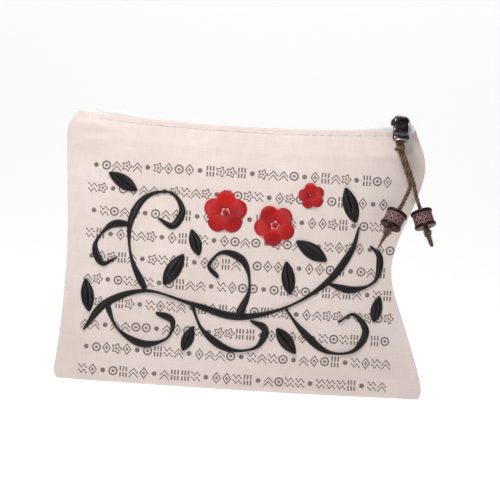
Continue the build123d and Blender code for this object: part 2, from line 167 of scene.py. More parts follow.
class Shade(Graph):
    """A material's graph around one Principled shader."""

    def __init__(self, name: str) -> None:
        """Make an empty material of this name."""
        material = bpy.data.materials.new(name)
        material.use_nodes = True
        super().__init__(material.node_tree)
        self.tree.nodes.clear()
        self.shader = self.node("ShaderNodeBsdfPrincipled")
        self.node("ShaderNodeOutputMaterial", None, {"Surface": Socket(self, self.shader.outputs[0])})

    def surface(self, **values: Input) -> None:
        """Set the shader's sockets by name, with _ for each space."""
        for name, value in values.items():
            self.feed(self.shader.inputs[name.replace("_", " ")], value)

    def place(self) -> Socket:
        """Object coordinates, in metres."""
        return self.out("ShaderNodeTexCoord", None, None, "Object")

    def uv(self) -> Socket:
        """The piece's own UV map."""
        return self.out("ShaderNodeUVMap")

    def attribute(self, name: str) -> Socket:
        """A number kept on the mesh."""
        return self.out("ShaderNodeAttribute", {"attribute_name": name}, None, "Fac")

    def noise(self, vector: Socket, scale: float, detail: float = 2.0, rough: float = 0.5) -> Socket:
        """Soft noise about 0.5, with so many waves for each metre or unit of the vector."""
        sockets = {"Vector": vector, "Scale": scale, "Detail": detail, "Roughness": rough}
        return self.out("ShaderNodeTexNoise", None, sockets)

    def chance(self, vector: Socket) -> Socket:
        """A random value from 0 to 1 for each place."""
        return self.out("ShaderNodeTexWhiteNoise", {"noise_dimensions": "3D"}, {"Vector": vector})

    def mix(self, factor: Input, first: Input, second: Input) -> Socket:
        """Two colours mixed, where the factor is the second one's share."""
        return self.out("ShaderNodeMix", {"data_type": "RGBA"}, {0: factor, 6: first, 7: second}, 2)

    def bump(self, height: Socket, distance: float, strength: float) -> Socket:
        """The normal bent by a height from 0 to 1, where 1 stands for a distance in metres."""
        sockets = {"Height": height, "Distance": distance, "Strength": strength}
        return self.out("ShaderNodeBump", None, sockets)


class Geo(Graph):
    """A Geometry Nodes tree with named inputs."""

    def __init__(self, name: str, *inputs: str) -> None:
        """Make a tree whose inputs are a geometry, these numbers and a material."""
        super().__init__(bpy.data.node_groups.new(name, "GeometryNodeTree"))
        self.tree.is_modifier = True
        self.keys: dict[str, str] = {}
        new = self.tree.interface.new_socket
        new("Geometry", in_out="OUTPUT", socket_type="NodeSocketGeometry")
        kinds = {"Geometry": "NodeSocketGeometry", "Material": "NodeSocketMaterial"}
        for key in ("Geometry", *inputs, "Material"):
            kind = kinds.get(key, "NodeSocketFloat")
            self.keys[key] = new(key, in_out="INPUT", socket_type=kind).identifier
        node = self.node("NodeGroupInput")
        self.entry = {output.name: Socket(self, output) for output in node.outputs if output.name}

    def named(self, name: str, kind: str) -> Socket:
        """An attribute of the geometry."""
        return self.out("GeometryNodeInputNamedAttribute", {"data_type": kind}, {"Name": name})

    def laid(self) -> Socket:
        """Points along the seed's lines, one pitch apart."""
        line = self.out("GeometryNodeMeshToCurve", None, {"Mesh": self.entry["Geometry"]})
        pitch = self.entry["Pitch"]
        return self.out("GeometryNodeResampleCurve", {"mode": "LENGTH"}, {"Curve": line, "Length": pitch})

    def arch(self, resolution: int, start: Sequence, handles: Sequence, end: Sequence) -> Socket:
        """A bent segment between two points with a handle for each."""
        return self.out("GeometryNodeCurvePrimitiveBezierSegment", {"mode": "POSITION"}, {
            "Resolution": resolution, "Start": start, "Start Handle": handles[0],
            "End Handle": handles[1], "End": end})

    def ring(self, sides: int, radius: Input) -> Socket:
        """A circle."""
        return self.out("GeometryNodeCurvePrimitiveCircle", None, {"Resolution": sides, "Radius": radius})

    def facing(self, up: Optional[Socket] = None, forth: Optional[Socket] = None) -> Socket:
        """A turn that takes Z and X to two directions, the seed's out and along if none are given."""
        return self.out("FunctionNodeAxesToRotation", {"primary_axis": "Z", "secondary_axis": "X"}, {
            "Primary Axis": up or self.named("out", "FLOAT_VECTOR"),
            "Secondary Axis": forth or self.named("along", "FLOAT_VECTOR")})

    def copies(self, points: Socket, curve: Socket, turn: Socket, size: Input = (1.0, 1.0, 1.0)) -> Socket:
        """A curve copied onto points, and made real."""
        placed = self.out("GeometryNodeInstanceOnPoints", None, {
            "Points": points, "Instance": curve, "Rotation": turn, "Scale": size})
        return self.out("GeometryNodeRealizeInstances", None, {"Geometry": placed})

    def finish(self, curves: Socket, sides: int, radius: Input, caps: bool = True) -> None:
        """Make tubes of curves, and end the tree in real geometry with its material.

        Args:
            curves: The tubes' middles.
            sides: Points round a tube.
            radius: A tube's radius, in metres.
            caps: Whether its ends are closed.
        """
        tubes = self.out("GeometryNodeCurveToMesh", None, {
            "Curve": curves, "Profile Curve": self.ring(sides, radius), "Fill Caps": caps})
        real = self.out("GeometryNodeRealizeInstances", None, {"Geometry": tubes})
        smooth = self.out("GeometryNodeSetShadeSmooth", None, {"Geometry": real, "Shade Smooth": True})
        finished = {"Geometry": smooth, "Material": self.entry["Material"]}
        self.node("NodeGroupOutput", None, {0: self.out("GeometryNodeSetMaterial", None, finished)})

    def grow(self, seed: bpy.types.Object, name: str, **values: Input) -> bpy.types.Object:
        """Run the tree over an object and keep the result as a plain mesh.

        Args:
            seed: The object that the tree starts from, which is removed.
            name: The new piece's name.
            values: The tree's inputs.

        Returns:
            The new piece.
        """
        modifier = seed.modifiers.new(self.tree.name, "NODES")
        modifier.node_group = self.tree
        for key, value in values.items():
            modifier[self.keys[key]] = value
        mesh = made_real(seed)
        mesh.name = name
        return linked(name, mesh)


def linked(name: str, data: bpy.types.ID) -> bpy.types.Object:
    """A new object in the scene."""
    thing = bpy.data.objects.new(name, data)
    bpy.context.scene.collection.objects.link(thing)
    return thing


def made_real(thing: bpy.types.Object) -> bpy.types.Mesh:
    """An object's evaluated mesh. The object itself is removed."""
    graph = bpy.context.evaluated_depsgraph_get()
    mesh = bpy.data.meshes.new_from_object(thing.evaluated_get(graph), depsgraph=graph)
    bpy.data.objects.remove(thing)
    return mesh


# ------------------------------------------------------------------- finishes

def tone(*screen: float) -> tuple[float, ...]:
    """A screen colour, each part from 0 to 255, as the linear colour that the shader takes."""
    parts = [value / 255 for value in screen]
    return (*(v / 12.92 if v <= 0.04045 else ((v + 0.055) / 1.055) ** 2.4 for v in parts), 1.0)


def weave_height(across: Socket, along: Socket, pitch: float) -> Socket:
    """Height of a plain weave, from 0 to 1, at a place on the cloth; the pitch is a thread's width."""
    a, b = across / pitch, along / pitch
    over = (a.floor() + b.floor()) % 2.0
    warp, weft = (a.fract() * pi).sine(), (b.fract() * pi).sine()
    up = warp.root() * (0.45 + 0.55 * weft)
    side = weft.root() * (0.45 + 0.55 * warp)
    return over * up + (1.0 - over) * side


@dataclass(frozen=True)
class Finish:
    """What every finish has: the record's slot and a name."""

    slot: str
    name: str

    def material(self) -> bpy.types.Material:
        """The finished material, made once."""
        if self.name not in bpy.data.materials:
            self.make(Shade(self.name))
        return bpy.data.materials[self.name]

    def make(self, shade: Shade) -> None:
        """Fill the material. Each finish has its own."""
        raise NotImplementedError


@dataclass(frozen=True)
class PrintRows:
    """Ten rows of small tile signs: coins, canes, lozenges, blossoms, waves and peaks."""

    rows: int = 10
    pitch: float = 13.8
    low: float = 7.0
    cell: float = 6.3
    word: int = 5
    line: float = 0.4
    enlarged: float = 1.22
    left: float = -98.0
    right_low: float = 93.5
    right_high: float = 86.0
    rise: float = 124.0
    stagger: float = 11.0
    before: float = 400.0

    def mask(self, shade: Shade, place: Socket) -> Socket:
        """Where the ink lies.

        Args:
            shade: The graph.
            place: Object coordinates, in metres.

        Returns:
            1 on a sign's line and 0 between.
        """
        x, y, z = (value * 1000.0 for value in shade.split(place))
        row = (z - self.low) / self.pitch + 0.5
        number = row.floor()
        up = (row.fract() - 0.5) * self.pitch
        step = (x + (number % 2.0) * self.stagger + self.before) / self.cell
        count = step.floor()
        centre = x - (step.fract() - 0.5) * self.cell
        side, up = (step.fract() - 0.5) * (self.cell / self.enlarged), up / self.enlarged
        pick = shade.chance(shade.join(count, number, 3.0))
        bullet = (count % float(self.word)) < 0.5
        signs = self.signs(side, up)
        share = 1 / len(signs)
        mask = 0.0
        for i, sign in enumerate(signs):
            mask = (pick > i * share) * (1.0 - (pick > (i + 1) * share)) * sign + mask
        dot = (side * side + up * up).root().ramp(1.35, 1.05)
        mask = bullet * dot + (1.0 - bullet) * mask
        right = self.right_low + (z - self.low) / self.rise * (self.right_high - self.right_low)
        across = (centre > self.left) * (centre < right) * (y < 0.0)
        return mask * (row > 0.0) * (row < float(self.rows)) * across

    def stroke(self, away: Socket) -> Socket:
        """A line of ink where a distance is near 0."""
        return abs(away).ramp(self.line + 0.1, self.line - 0.1)

    def signs(self, side: Socket, up: Socket) -> list[Socket]:
        """The six signs, each about its own middle.

        Args:
            side: Place to the right of the middle, in millimetres.
            up: Place above the middle, in millimetres.

        Returns:
            Their masks.
        """
        far = (side * side + up * up).root()
        coin = self.stroke(far - 1.9).most(far.ramp(0.85, 0.6))
        lane = abs(abs(side) - 1.55).least(abs(side))
        cane = lane.ramp(0.5, 0.3) * abs(up).ramp(2.7, 2.5) * abs(up).ramp(0.22, 0.34)
        slant = abs(side) * 1.15 + abs(up) * 0.85
        lozenge = self.stroke(slant - 2.2).most(slant.ramp(1.0, 0.7))
        angle = side.graph.math("ARCTAN2", up, side)
        petal = (angle * 5.0 + 1.57).sine() * 0.55 + 1.85
        blossom = self.stroke(far - petal).most(far.ramp(0.7, 0.45))
        swing = (side * 2.4).sine() * 0.75
        wave = self.stroke(up - 1.35 - swing).most(self.stroke(up + 1.2 - swing))
        peak = abs(side) * 1.1
        peaks = self.stroke(up - 1.9 + peak).most(self.stroke(up + 0.1 + peak)) * abs(side).ramp(2.4, 2.2)
        return [coin, cane, lozenge, blossom, wave * abs(side).ramp(2.4, 2.2), peaks]


@dataclass(frozen=True)
class CanvasFinish(Finish):
    """Natural cotton canvas with flecks, soft unevenness, painted shade between the threads and, in front,
    the printed rows.
    """

    printed: bool = False
    pitch: float = 0.00062

    def make(self, shade: Shade) -> None:
        """Weave by the cloth's own map, with the print by the object's place."""
        u, v, _ = shade.split(shade.uv())
        place = shade.place()
        weave = weave_height(u, v, self.pitch)
        warp = shade.noise(shade.join(u * 90.0, v * 2200.0), 1.0, 2.0)
        weft = shade.noise(shade.join(u * 2200.0, v * 90.0), 1.0, 2.0)
        slub = (warp + weft) * 0.5
        cloud = shade.noise(place, 26.0, 3.0, 0.6)
        colour = shade.mix(cloud.ramp(0.3, 0.75), tone(238, 224, 219), tone(228, 212, 206))
        colour = shade.mix(slub.ramp(0.42, 0.66) * 0.45, colour, tone(212, 195, 187))
        # Painted shade: the colour darkens where the weave is low, between the threads.
        colour = shade.mix((1.0 - weave) * 0.34, colour, tone(184, 166, 158))
        fleck = shade.noise(place, 1700.0, 1.0).ramp(0.79, 0.83)
        colour = shade.mix(fleck * 0.4, colour, tone(150, 124, 108))
        if self.printed:
            ink = PrintRows().mask(shade, place)
            worn = shade.noise(place, 900.0, 2.0).ramp(0.28, 0.5)
            colour = shade.mix(ink * (0.66 + 0.26 * worn), colour, tone(92, 79, 74))
        height = weave * 0.7 + slub * 0.5
        shade.surface(Base_Color=colour, Roughness=0.92, Specular_IOR_Level=0.2, Sheen_Weight=0.25,
                      Sheen_Roughness=0.6, Normal=shade.bump(height, 0.00022, 0.8))


@dataclass(frozen=True)
class TapeFinish(Finish):
    """White woven zip tape with ribs across it, with painted shade between the ribs."""

    rib: float = 0.0007

    def make(self, shade: Shade) -> None:
        """Herringbone ribs by the tape's own map."""
        u, v, _ = shade.split(shade.uv())
        lane = abs((v / 0.0024).fract() - 0.5) * 2.0
        rib = ((u / self.rib + lane * 1.2).fract() * pi).sine()
        # Painted shade: the colour is darker in the valleys between the ribs, following the rib height.
        colour = shade.mix(rib * 0.6, tone(214, 214, 220), tone(246, 246, 249))
        shade.surface(Base_Color=colour, Roughness=0.72, Specular_IOR_Level=0.3, Sheen_Weight=0.15,
                      Normal=shade.bump(rib, 0.00018, 0.7))


@dataclass(frozen=True)
class CoilFinish(Finish):
    """White nylon monofilament: smooth, slightly clear, a little glossy."""

    def make(self, shade: Shade) -> None:
        """Faint milky clouds."""
        cloud = shade.noise(shade.place(), 900.0, 2.0)
        colour = shade.mix(cloud, tone(232, 233, 238), tone(250, 250, 252))
        shade.surface(Base_Color=colour, Roughness=0.3 + 0.12 * cloud, Specular_IOR_Level=0.55,
                      Subsurface_Weight=0.15, Subsurface_Radius=(0.001, 0.001, 0.001), Subsurface_Scale=1.0)


@dataclass(frozen=True)
class ThreadFinish(Finish):
    """Twisted thread, with a soft streaky shine."""

    light: tuple = (1.0, 1.0, 1.0, 1.0)
    dark: tuple = (0.8, 0.8, 0.8, 1.0)
    roughness: float = 0.4
    sheen: float = 0.1

    def make(self, shade: Shade) -> None:
        """Fine streaks and slow changes of tone."""
        place = shade.place()
        fine = shade.noise(place, 2600.0, 2.0)
        slow = shade.noise(place, 120.0, 2.0)
        colour = shade.mix((fine * 0.5 + slow * 0.5).ramp(0.35, 0.65), self.dark, self.light)
        shade.surface(Base_Color=colour, Roughness=self.roughness + 0.15 * fine, Sheen_Weight=self.sheen,
                      Specular_IOR_Level=0.35, Normal=shade.bump(fine, 0.00004, 0.6))


@dataclass(frozen=True)
class GunmetalFinish(Finish):
    """Dark polished plating, with brushed marks and worn brighter places."""

    dark: tuple = (0.05, 0.05, 0.05, 1.0)
    bright: tuple = (0.2, 0.2, 0.2, 1.0)

    def make(self, shade: Shade) -> None:
        """Marks run along the part; wear follows slow clouds."""
        x, y, z = shade.split(shade.place())
        marks = shade.noise(shade.join(x * 900.0, y * 9000.0, z * 900.0), 1.0, 3.0)
        cloud = shade.noise(shade.place(), 420.0, 3.0)
        colour = shade.mix(cloud.ramp(0.4, 0.75), self.dark, self.bright)
        shade.surface(Base_Color=colour, Metallic=1.0, Roughness=0.17 + 0.16 * marks,
                      Normal=shade.bump(marks, 0.00002, 0.5))


@dataclass(frozen=True)
class HempFinish(Finish):
    """Twisted brown hemp, each ply with its own fibres, with painted shade in the grooves between the
    plies.
    """

    def make(self, shade: Shade) -> None:
        """Fibres run along the twist, by the cord's own map."""
        u, v, _ = shade.split(shade.uv())
        fibre = shade.noise(shade.join(u * 42.0, v * 320.0), 1.0, 3.0, 0.65)
        cloud = shade.noise(shade.place(), 240.0, 2.0)
        # Painted shade: 1 in the grooves between the plies, where the colour is darkened towards near black
        # below.
        painted_groove_shade = 1.0 - abs((u * (3.0 * pi) + pi / 2).sine())
        colour = shade.mix(fibre.ramp(0.3, 0.7), tone(84, 60, 43), tone(160, 126, 98))
        colour = shade.mix(cloud.ramp(0.35, 0.75) * 0.4, colour, tone(112, 82, 60))
        dark_ply = ((u * 3.0 + 0.5).floor() % 3.0) < 0.5
        colour = shade.mix(dark_ply * 0.6, colour, tone(58, 38, 27))
        colour = shade.mix(painted_groove_shade.ramp(0.2, 0.8) * 0.9, colour, tone(30, 18, 13))
        shade.surface(Base_Color=colour, Roughness=0.85, Specular_IOR_Level=0.25, Sheen_Weight=0.2,
                      Normal=shade.bump(fibre, 0.00018, 0.8))


@dataclass(frozen=True)
class WoodFinish(Finish):
    """Dark stained bead wood, with pale stain left in the carving."""

    def make(self, shade: Shade) -> None:
        """Grain runs round the bead; the mesh says where it is carved."""
        u, v, _ = shade.split(shade.uv())
        carved = shade.attribute("carved")
        grain = shade.noise(shade.join(u * 30.0, v * 2400.0), 1.0, 4.0, 0.6)
        wood = shade.mix(grain.ramp(0.3, 0.72), tone(22, 7, 9), tone(56, 22, 22))
        pale = shade.mix(grain, tone(160, 118, 118), tone(196, 158, 156))
        colour = shade.mix(carved.ramp(0.3, 0.75), wood, pale)
        rough = 0.32 + 0.4 * carved + 0.1 * grain
        shade.surface(Base_Color=colour, Roughness=rough, Specular_IOR_Level=0.2,
                      Normal=shade.bump(grain, 0.00005, 0.5))


@dataclass(frozen=True)
class FloorFinish(Finish):
    """A plain white studio sweep."""

    def make(self, shade: Shade) -> None:
        """Even white."""
        shade.surface(Base_Color=(0.5, 0.5, 0.5, 1.0), Roughness=0.9, Specular_IOR_Level=0.1,
                      Emission_Color=(1.0, 1.0, 1.0, 1.0), Emission_Strength=0.72)


CANVAS = CanvasFinish("canvas", "printed_canvas", printed=True)
PLAIN_CANVAS = CanvasFinish("canvas", "plain_canvas")
TAPE = TapeFinish("zip_tape", "woven_tape")
COIL = CoilFinish("zip_coil", "nylon_filament")
SEWING = ThreadFinish("sewing_thread", "cotton_thread", tone(240, 231, 226), tone(214, 202, 196), 0.6, 0.2)
BLACK = ThreadFinish("black_thread", "black_rayon", tone(24, 18, 20), tone(7, 5, 6), 0.36, 0.0)
RED = ThreadFinish("red_thread", "red_rayon", tone(200, 26, 26), tone(152, 12, 16), 0.38, 0.0)
GUNMETAL = GunmetalFinish("gunmetal", "black_nickel", tone(58, 52, 54), tone(112, 104, 106))
# A lighter copy of the black nickel plating: a painted highlight for the tab's lip and the slider's nose.
HIGHLIGHT_NICKEL = GunmetalFinish("gunmetal", "painted_highlight_nickel", tone(150, 144, 142), tone(214, 210, 206))
HEMP = HempFinish("hemp", "hemp_cord")
WOOD = WoodFinish("bead_wood", "carved_wood")


# --------------------------------------------------------------------- meshes

def paint(piece: bpy.types.Object, finish: Finish) -> None:
    """Give a piece its finish alone."""
    piece.data.materials.clear()
    piece.data.materials.append(finish.material())


def dress(piece: bpy.types.Object, finish: Finish, body: str, *nodes: str) -> bpy.types.Object:
    """Give a piece its finish and its body, and hide the CAD nodes that it stands for.

    Args:
        piece: The piece, in place.
        finish: What it is made of.
        body: The CAD body that it rides on.
        nodes: CAD nodes that it replaces.

    Returns:
        The piece.
    """
    paint(piece, finish)
    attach(piece, body)
    if nodes:
        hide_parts(*nodes)
    log.info("%s rides on %s, %d faces", piece.name, body, len(piece.data.polygons))
    return piece


def piece_of(name: str, points: Points, faces: Sequence, uv: Optional[Points] = None,
             mended: bool = False) -> bpy.types.Object:
    """A smooth mesh object at the origin.

    Args:
        name: The object's name.
        points: Its vertices, in metres.
        faces: Their numbers, face by face.
        uv: A place on the cloth for each vertex.
        mended: Whether its faces are turned outwards.

    Returns:
        The object.
    """
    mesh = bpy.data.meshes.new(name)
    mesh.from_pydata(np.asarray(points).reshape(-1, 3).tolist(), [], [list(map(int, f)) for f in faces])
    if uv is not None:
        layer = mesh.uv_layers.new(name="cloth")
        corners = np.empty(len(mesh.loops), np.int32)
        mesh.loops.foreach_get("vertex_index", corners)
        layer.data.foreach_set("uv", np.asarray(uv).reshape(-1, 2)[corners].ravel())
    mesh.polygons.foreach_set("use_smooth", [True] * len(mesh.polygons))
    if mended:
        work = bmesh.new()
        work.from_mesh(mesh)
        bmesh.ops.recalc_face_normals(work, faces=work.faces)
        work.to_mesh(mesh)
        work.free()
    return linked(name, mesh)


def keep(mesh: bpy.types.Mesh, name: str, values: Points) -> None:
    """Store a number or a vector on each vertex."""
    kind, key = ("FLOAT", "value") if values.ndim == 1 else ("FLOAT_VECTOR", "vector")
    mesh.attributes.new(name, kind, "POINT").data.foreach_set(key, values.astype(float).ravel())


def grid_faces(rows: int, columns: int, round_rows: bool = False, round_columns: bool = False) -> list:
    """Quads over a grid of vertices, whose last row or column may meet the first."""
    i = np.arange(rows if round_rows else rows - 1)[:, None]
    j = np.arange(columns if round_columns else columns - 1)[None, :]
    k, m = (i + 1) % rows, (j + 1) % columns
    quads = np.stack([i * columns + j, i * columns + m, k * columns + m, k * columns + j], -1)
    return quads.reshape(-1, 4).tolist()


def tube_faces(rows: int, columns: int, closed: bool = False) -> list:
    """Quads round a tube, with a cap at each end unless its end meets its start."""
    faces = grid_faces(rows, columns, round_rows=closed, round_columns=True)
    last = (rows - 1) * columns
    caps = [list(range(columns))[::-1], list(range(last, last + columns))]
    return faces if closed else faces + caps


def edge_faces(ring: Sequence[int]) -> list:
    """Quads that close the edge of a folded sheet, between the two halves of a ring of vertices."""
    return [[ring[i], ring[i + 1], ring[-i - 2], ring[-i - 1]] for i in range(len(ring) // 2 - 1)]


def seed_line(name: str, lines: Sequence[dict]) -> bpy.types.Object:
    """Poly lines that a Geometry Nodes tree follows.

    Args:
        name: The object's name.
        lines: For each line its points, out and along vectors, and half widths.

    Returns:
        The object.
    """
    points = np.concatenate([line["points"] for line in lines])
    edges, start = [], 0
    for line in lines:
        count = len(line["points"])
        edges += [(start + i, start + i + 1) for i in range(count - 1)]
        start += count
    mesh = bpy.data.meshes.new(name)
    mesh.from_pydata(points.tolist(), edges, [])
    for key in ("out", "along", "wide"):
        keep(mesh, key, np.concatenate([line[key] for line in lines]))
    return linked(name, mesh)


def unit(vectors: Points) -> Points:
    """Vectors at length 1."""
    return vectors / np.maximum(np.linalg.norm(vectors, axis=-1, keepdims=True), 1e-12)


def turns_of(count: int) -> Points:
    """So many even angles round a circle, in radians."""
    return np.arange(count) * 2 * pi / count


def spread(*values: Input) -> Points:
    """Values that are broadcast over each other, side by side on the last axis."""
    return np.stack(np.broadcast_arrays(*values), -1)


def power(value: Points, exponent: float) -> Points:
    """A power that keeps the sign, which squares a circle's sine or cosine off."""
    return np.sign(value) * np.abs(value) ** exponent


def ridge(away: Points, wide: float) -> Points:
    """1 where a distance is 0, falling softly to 0 beyond a width."""
    return np.exp(-((away / wide) ** 2))


def smooth_line(points: Sequence, count: int) -> Points:
    """A Catmull-Rom line through points of any dimension, with so many even steps."""
    knots = np.asarray(points, float)
    knots = np.vstack([2 * knots[0] - knots[1], knots, 2 * knots[-1] - knots[-2]])
    fine = []
    for i in range(1, len(knots) - 2):
        a, b, c, d = knots[i - 1: i + 3]
        t = np.linspace(0, 1, 40, endpoint=False)[:, None]
        fine.append(0.5 * (2 * b + (c - a) * t + (2 * a - 5 * b + 4 * c - d) * t**2
                           + (3 * b - a - 3 * c + d) * t**3))
    return even(np.vstack(fine + [knots[-2:-1]]), count)


def way_along(line: Points) -> Points:
    """The way from a line's start to each of its points."""
    steps = np.linalg.norm(np.diff(line, axis=0), axis=-1)
    return np.concatenate([np.zeros((1, *steps.shape[1:])), np.cumsum(steps, axis=0)])


def even(line: Points, count: int) -> Points:
    """The same line with so many evenly spaced points."""
    way = way_along(line)
    at = np.linspace(0, way[-1], count)
    return np.stack([np.interp(at, way, line[:, k]) for k in range(line.shape[1])], 1)


def carried_frames(line: Points) -> tuple[Points, Points]:
    """Two directions across a line at each point, which don't spin about it."""
    tangents = unit(np.gradient(line, axis=0))
    side, sides = np.array([0.0, 1.0, 0.0]), []
    for tangent in tangents:
        side = side - tangent * side.dot(tangent)
        side = side / np.linalg.norm(side)
        sides.append(side)
    return np.array(sides), np.cross(tangents, sides)


def rope(name: str, line: Points, radius: float, plies: int = 3, turn: float = 0.0066,
         taper: Optional[Points] = None, closed: bool = False) -> bpy.types.Object:
    """A twisted cord along a line.

    Args:
        name: The piece's name.
        line: Its middle, evenly spaced.
        radius: Its outer radius.
        plies: How many strands are laid up in it.
        turn: Length of one full turn of the lay.
        taper: Share of the radius at each point.
        closed: Whether the end meets the start.

    Returns:
        The piece.
    """
    sides = 8 * plies
    a, b = carried_frames(line)
    way = way_along(line)
    around = turns_of(sides)
    twist = way * 2 * pi / turn
    lobe = np.abs(np.cos(plies / 2 * around))
    share = (0.62 + 0.38 * lobe**0.8)[None, :] * (np.ones(len(line)) if taper is None else taper)[:, None]
    angle = around[None, :] + twist[:, None]
    rings = line[:, None] + radius * share[..., None] * (
        np.cos(angle)[..., None] * a[:, None] + np.sin(angle)[..., None] * b[:, None])
    uv = spread(around[None, :] / (2 * pi), way[:, None] / radius / 8)
    return piece_of(name, rings, tube_faces(len(line), sides, closed), uv)


def joined(name: str, pieces: Sequence[bpy.types.Object], mended: bool = False) -> bpy.types.Object:
    """Several meshes made one.

    Args:
        name: The new piece's name.
        pieces: The pieces, which are removed.
        mended: As for piece_of.

    Returns:
        The new piece.
    """
    points, faces, uv, start = [], [], [], 0
    for piece in pieces:
        mesh = piece.data
        coordinates = np.empty(len(mesh.vertices) * 3)
        mesh.vertices.foreach_get("co", coordinates)
        points.append(coordinates.reshape(-1, 3))
        places = np.zeros((len(mesh.vertices), 2))
        corners = np.empty(len(mesh.loops), np.int32)
        mesh.loops.foreach_get("vertex_index", corners)
        values = np.empty(len(mesh.loops) * 2, np.float32)
        mesh.uv_layers[0].data.foreach_get("uv", values)
        places[corners] = values.reshape(-1, 2)
        uv.append(places)
        faces += [[start + v for v in polygon.vertices] for polygon in mesh.polygons]
        start += len(mesh.vertices)
        bpy.data.objects.remove(piece)
    return piece_of(name, np.concatenate(points), faces, np.concatenate(uv), mended)


# ---------------------------------------------------------- the pouch's form

@dataclass(frozen=True)
class Station:
    """The pouch's plan at a height, in millimetres."""

    height: float
    left: float
    right: float
    depth: float
    square: float


@dataclass(frozen=True)
class Fold:
    """A crease or a swell of the cloth along a short line, in millimetres."""

    start: tuple[float, float]
    end: tuple[float, float]
    width: float
    high: float

    def height(self, x: Points, z: Points) -> Points:
        """How far it lifts the cloth at places, in millimetres."""
        a, b = np.array(self.start), np.array(self.end)
        way = b - a
        share = ((x - a[0]) * way[0] + (z - a[1]) * way[1]) / way.dot(way)
        near = np.clip(share, 0, 1)
        off = np.hypot(x - a[0] - near * way[0], z - a[1] - near * way[1])
        fade = 0.35 + 0.65 * np.sin(pi * near)
        return self.high * fade * ridge(off, self.width)


class Side(Enum):
    """Which panel of the pouch."""

    FRONT = -1
    BACK = 1


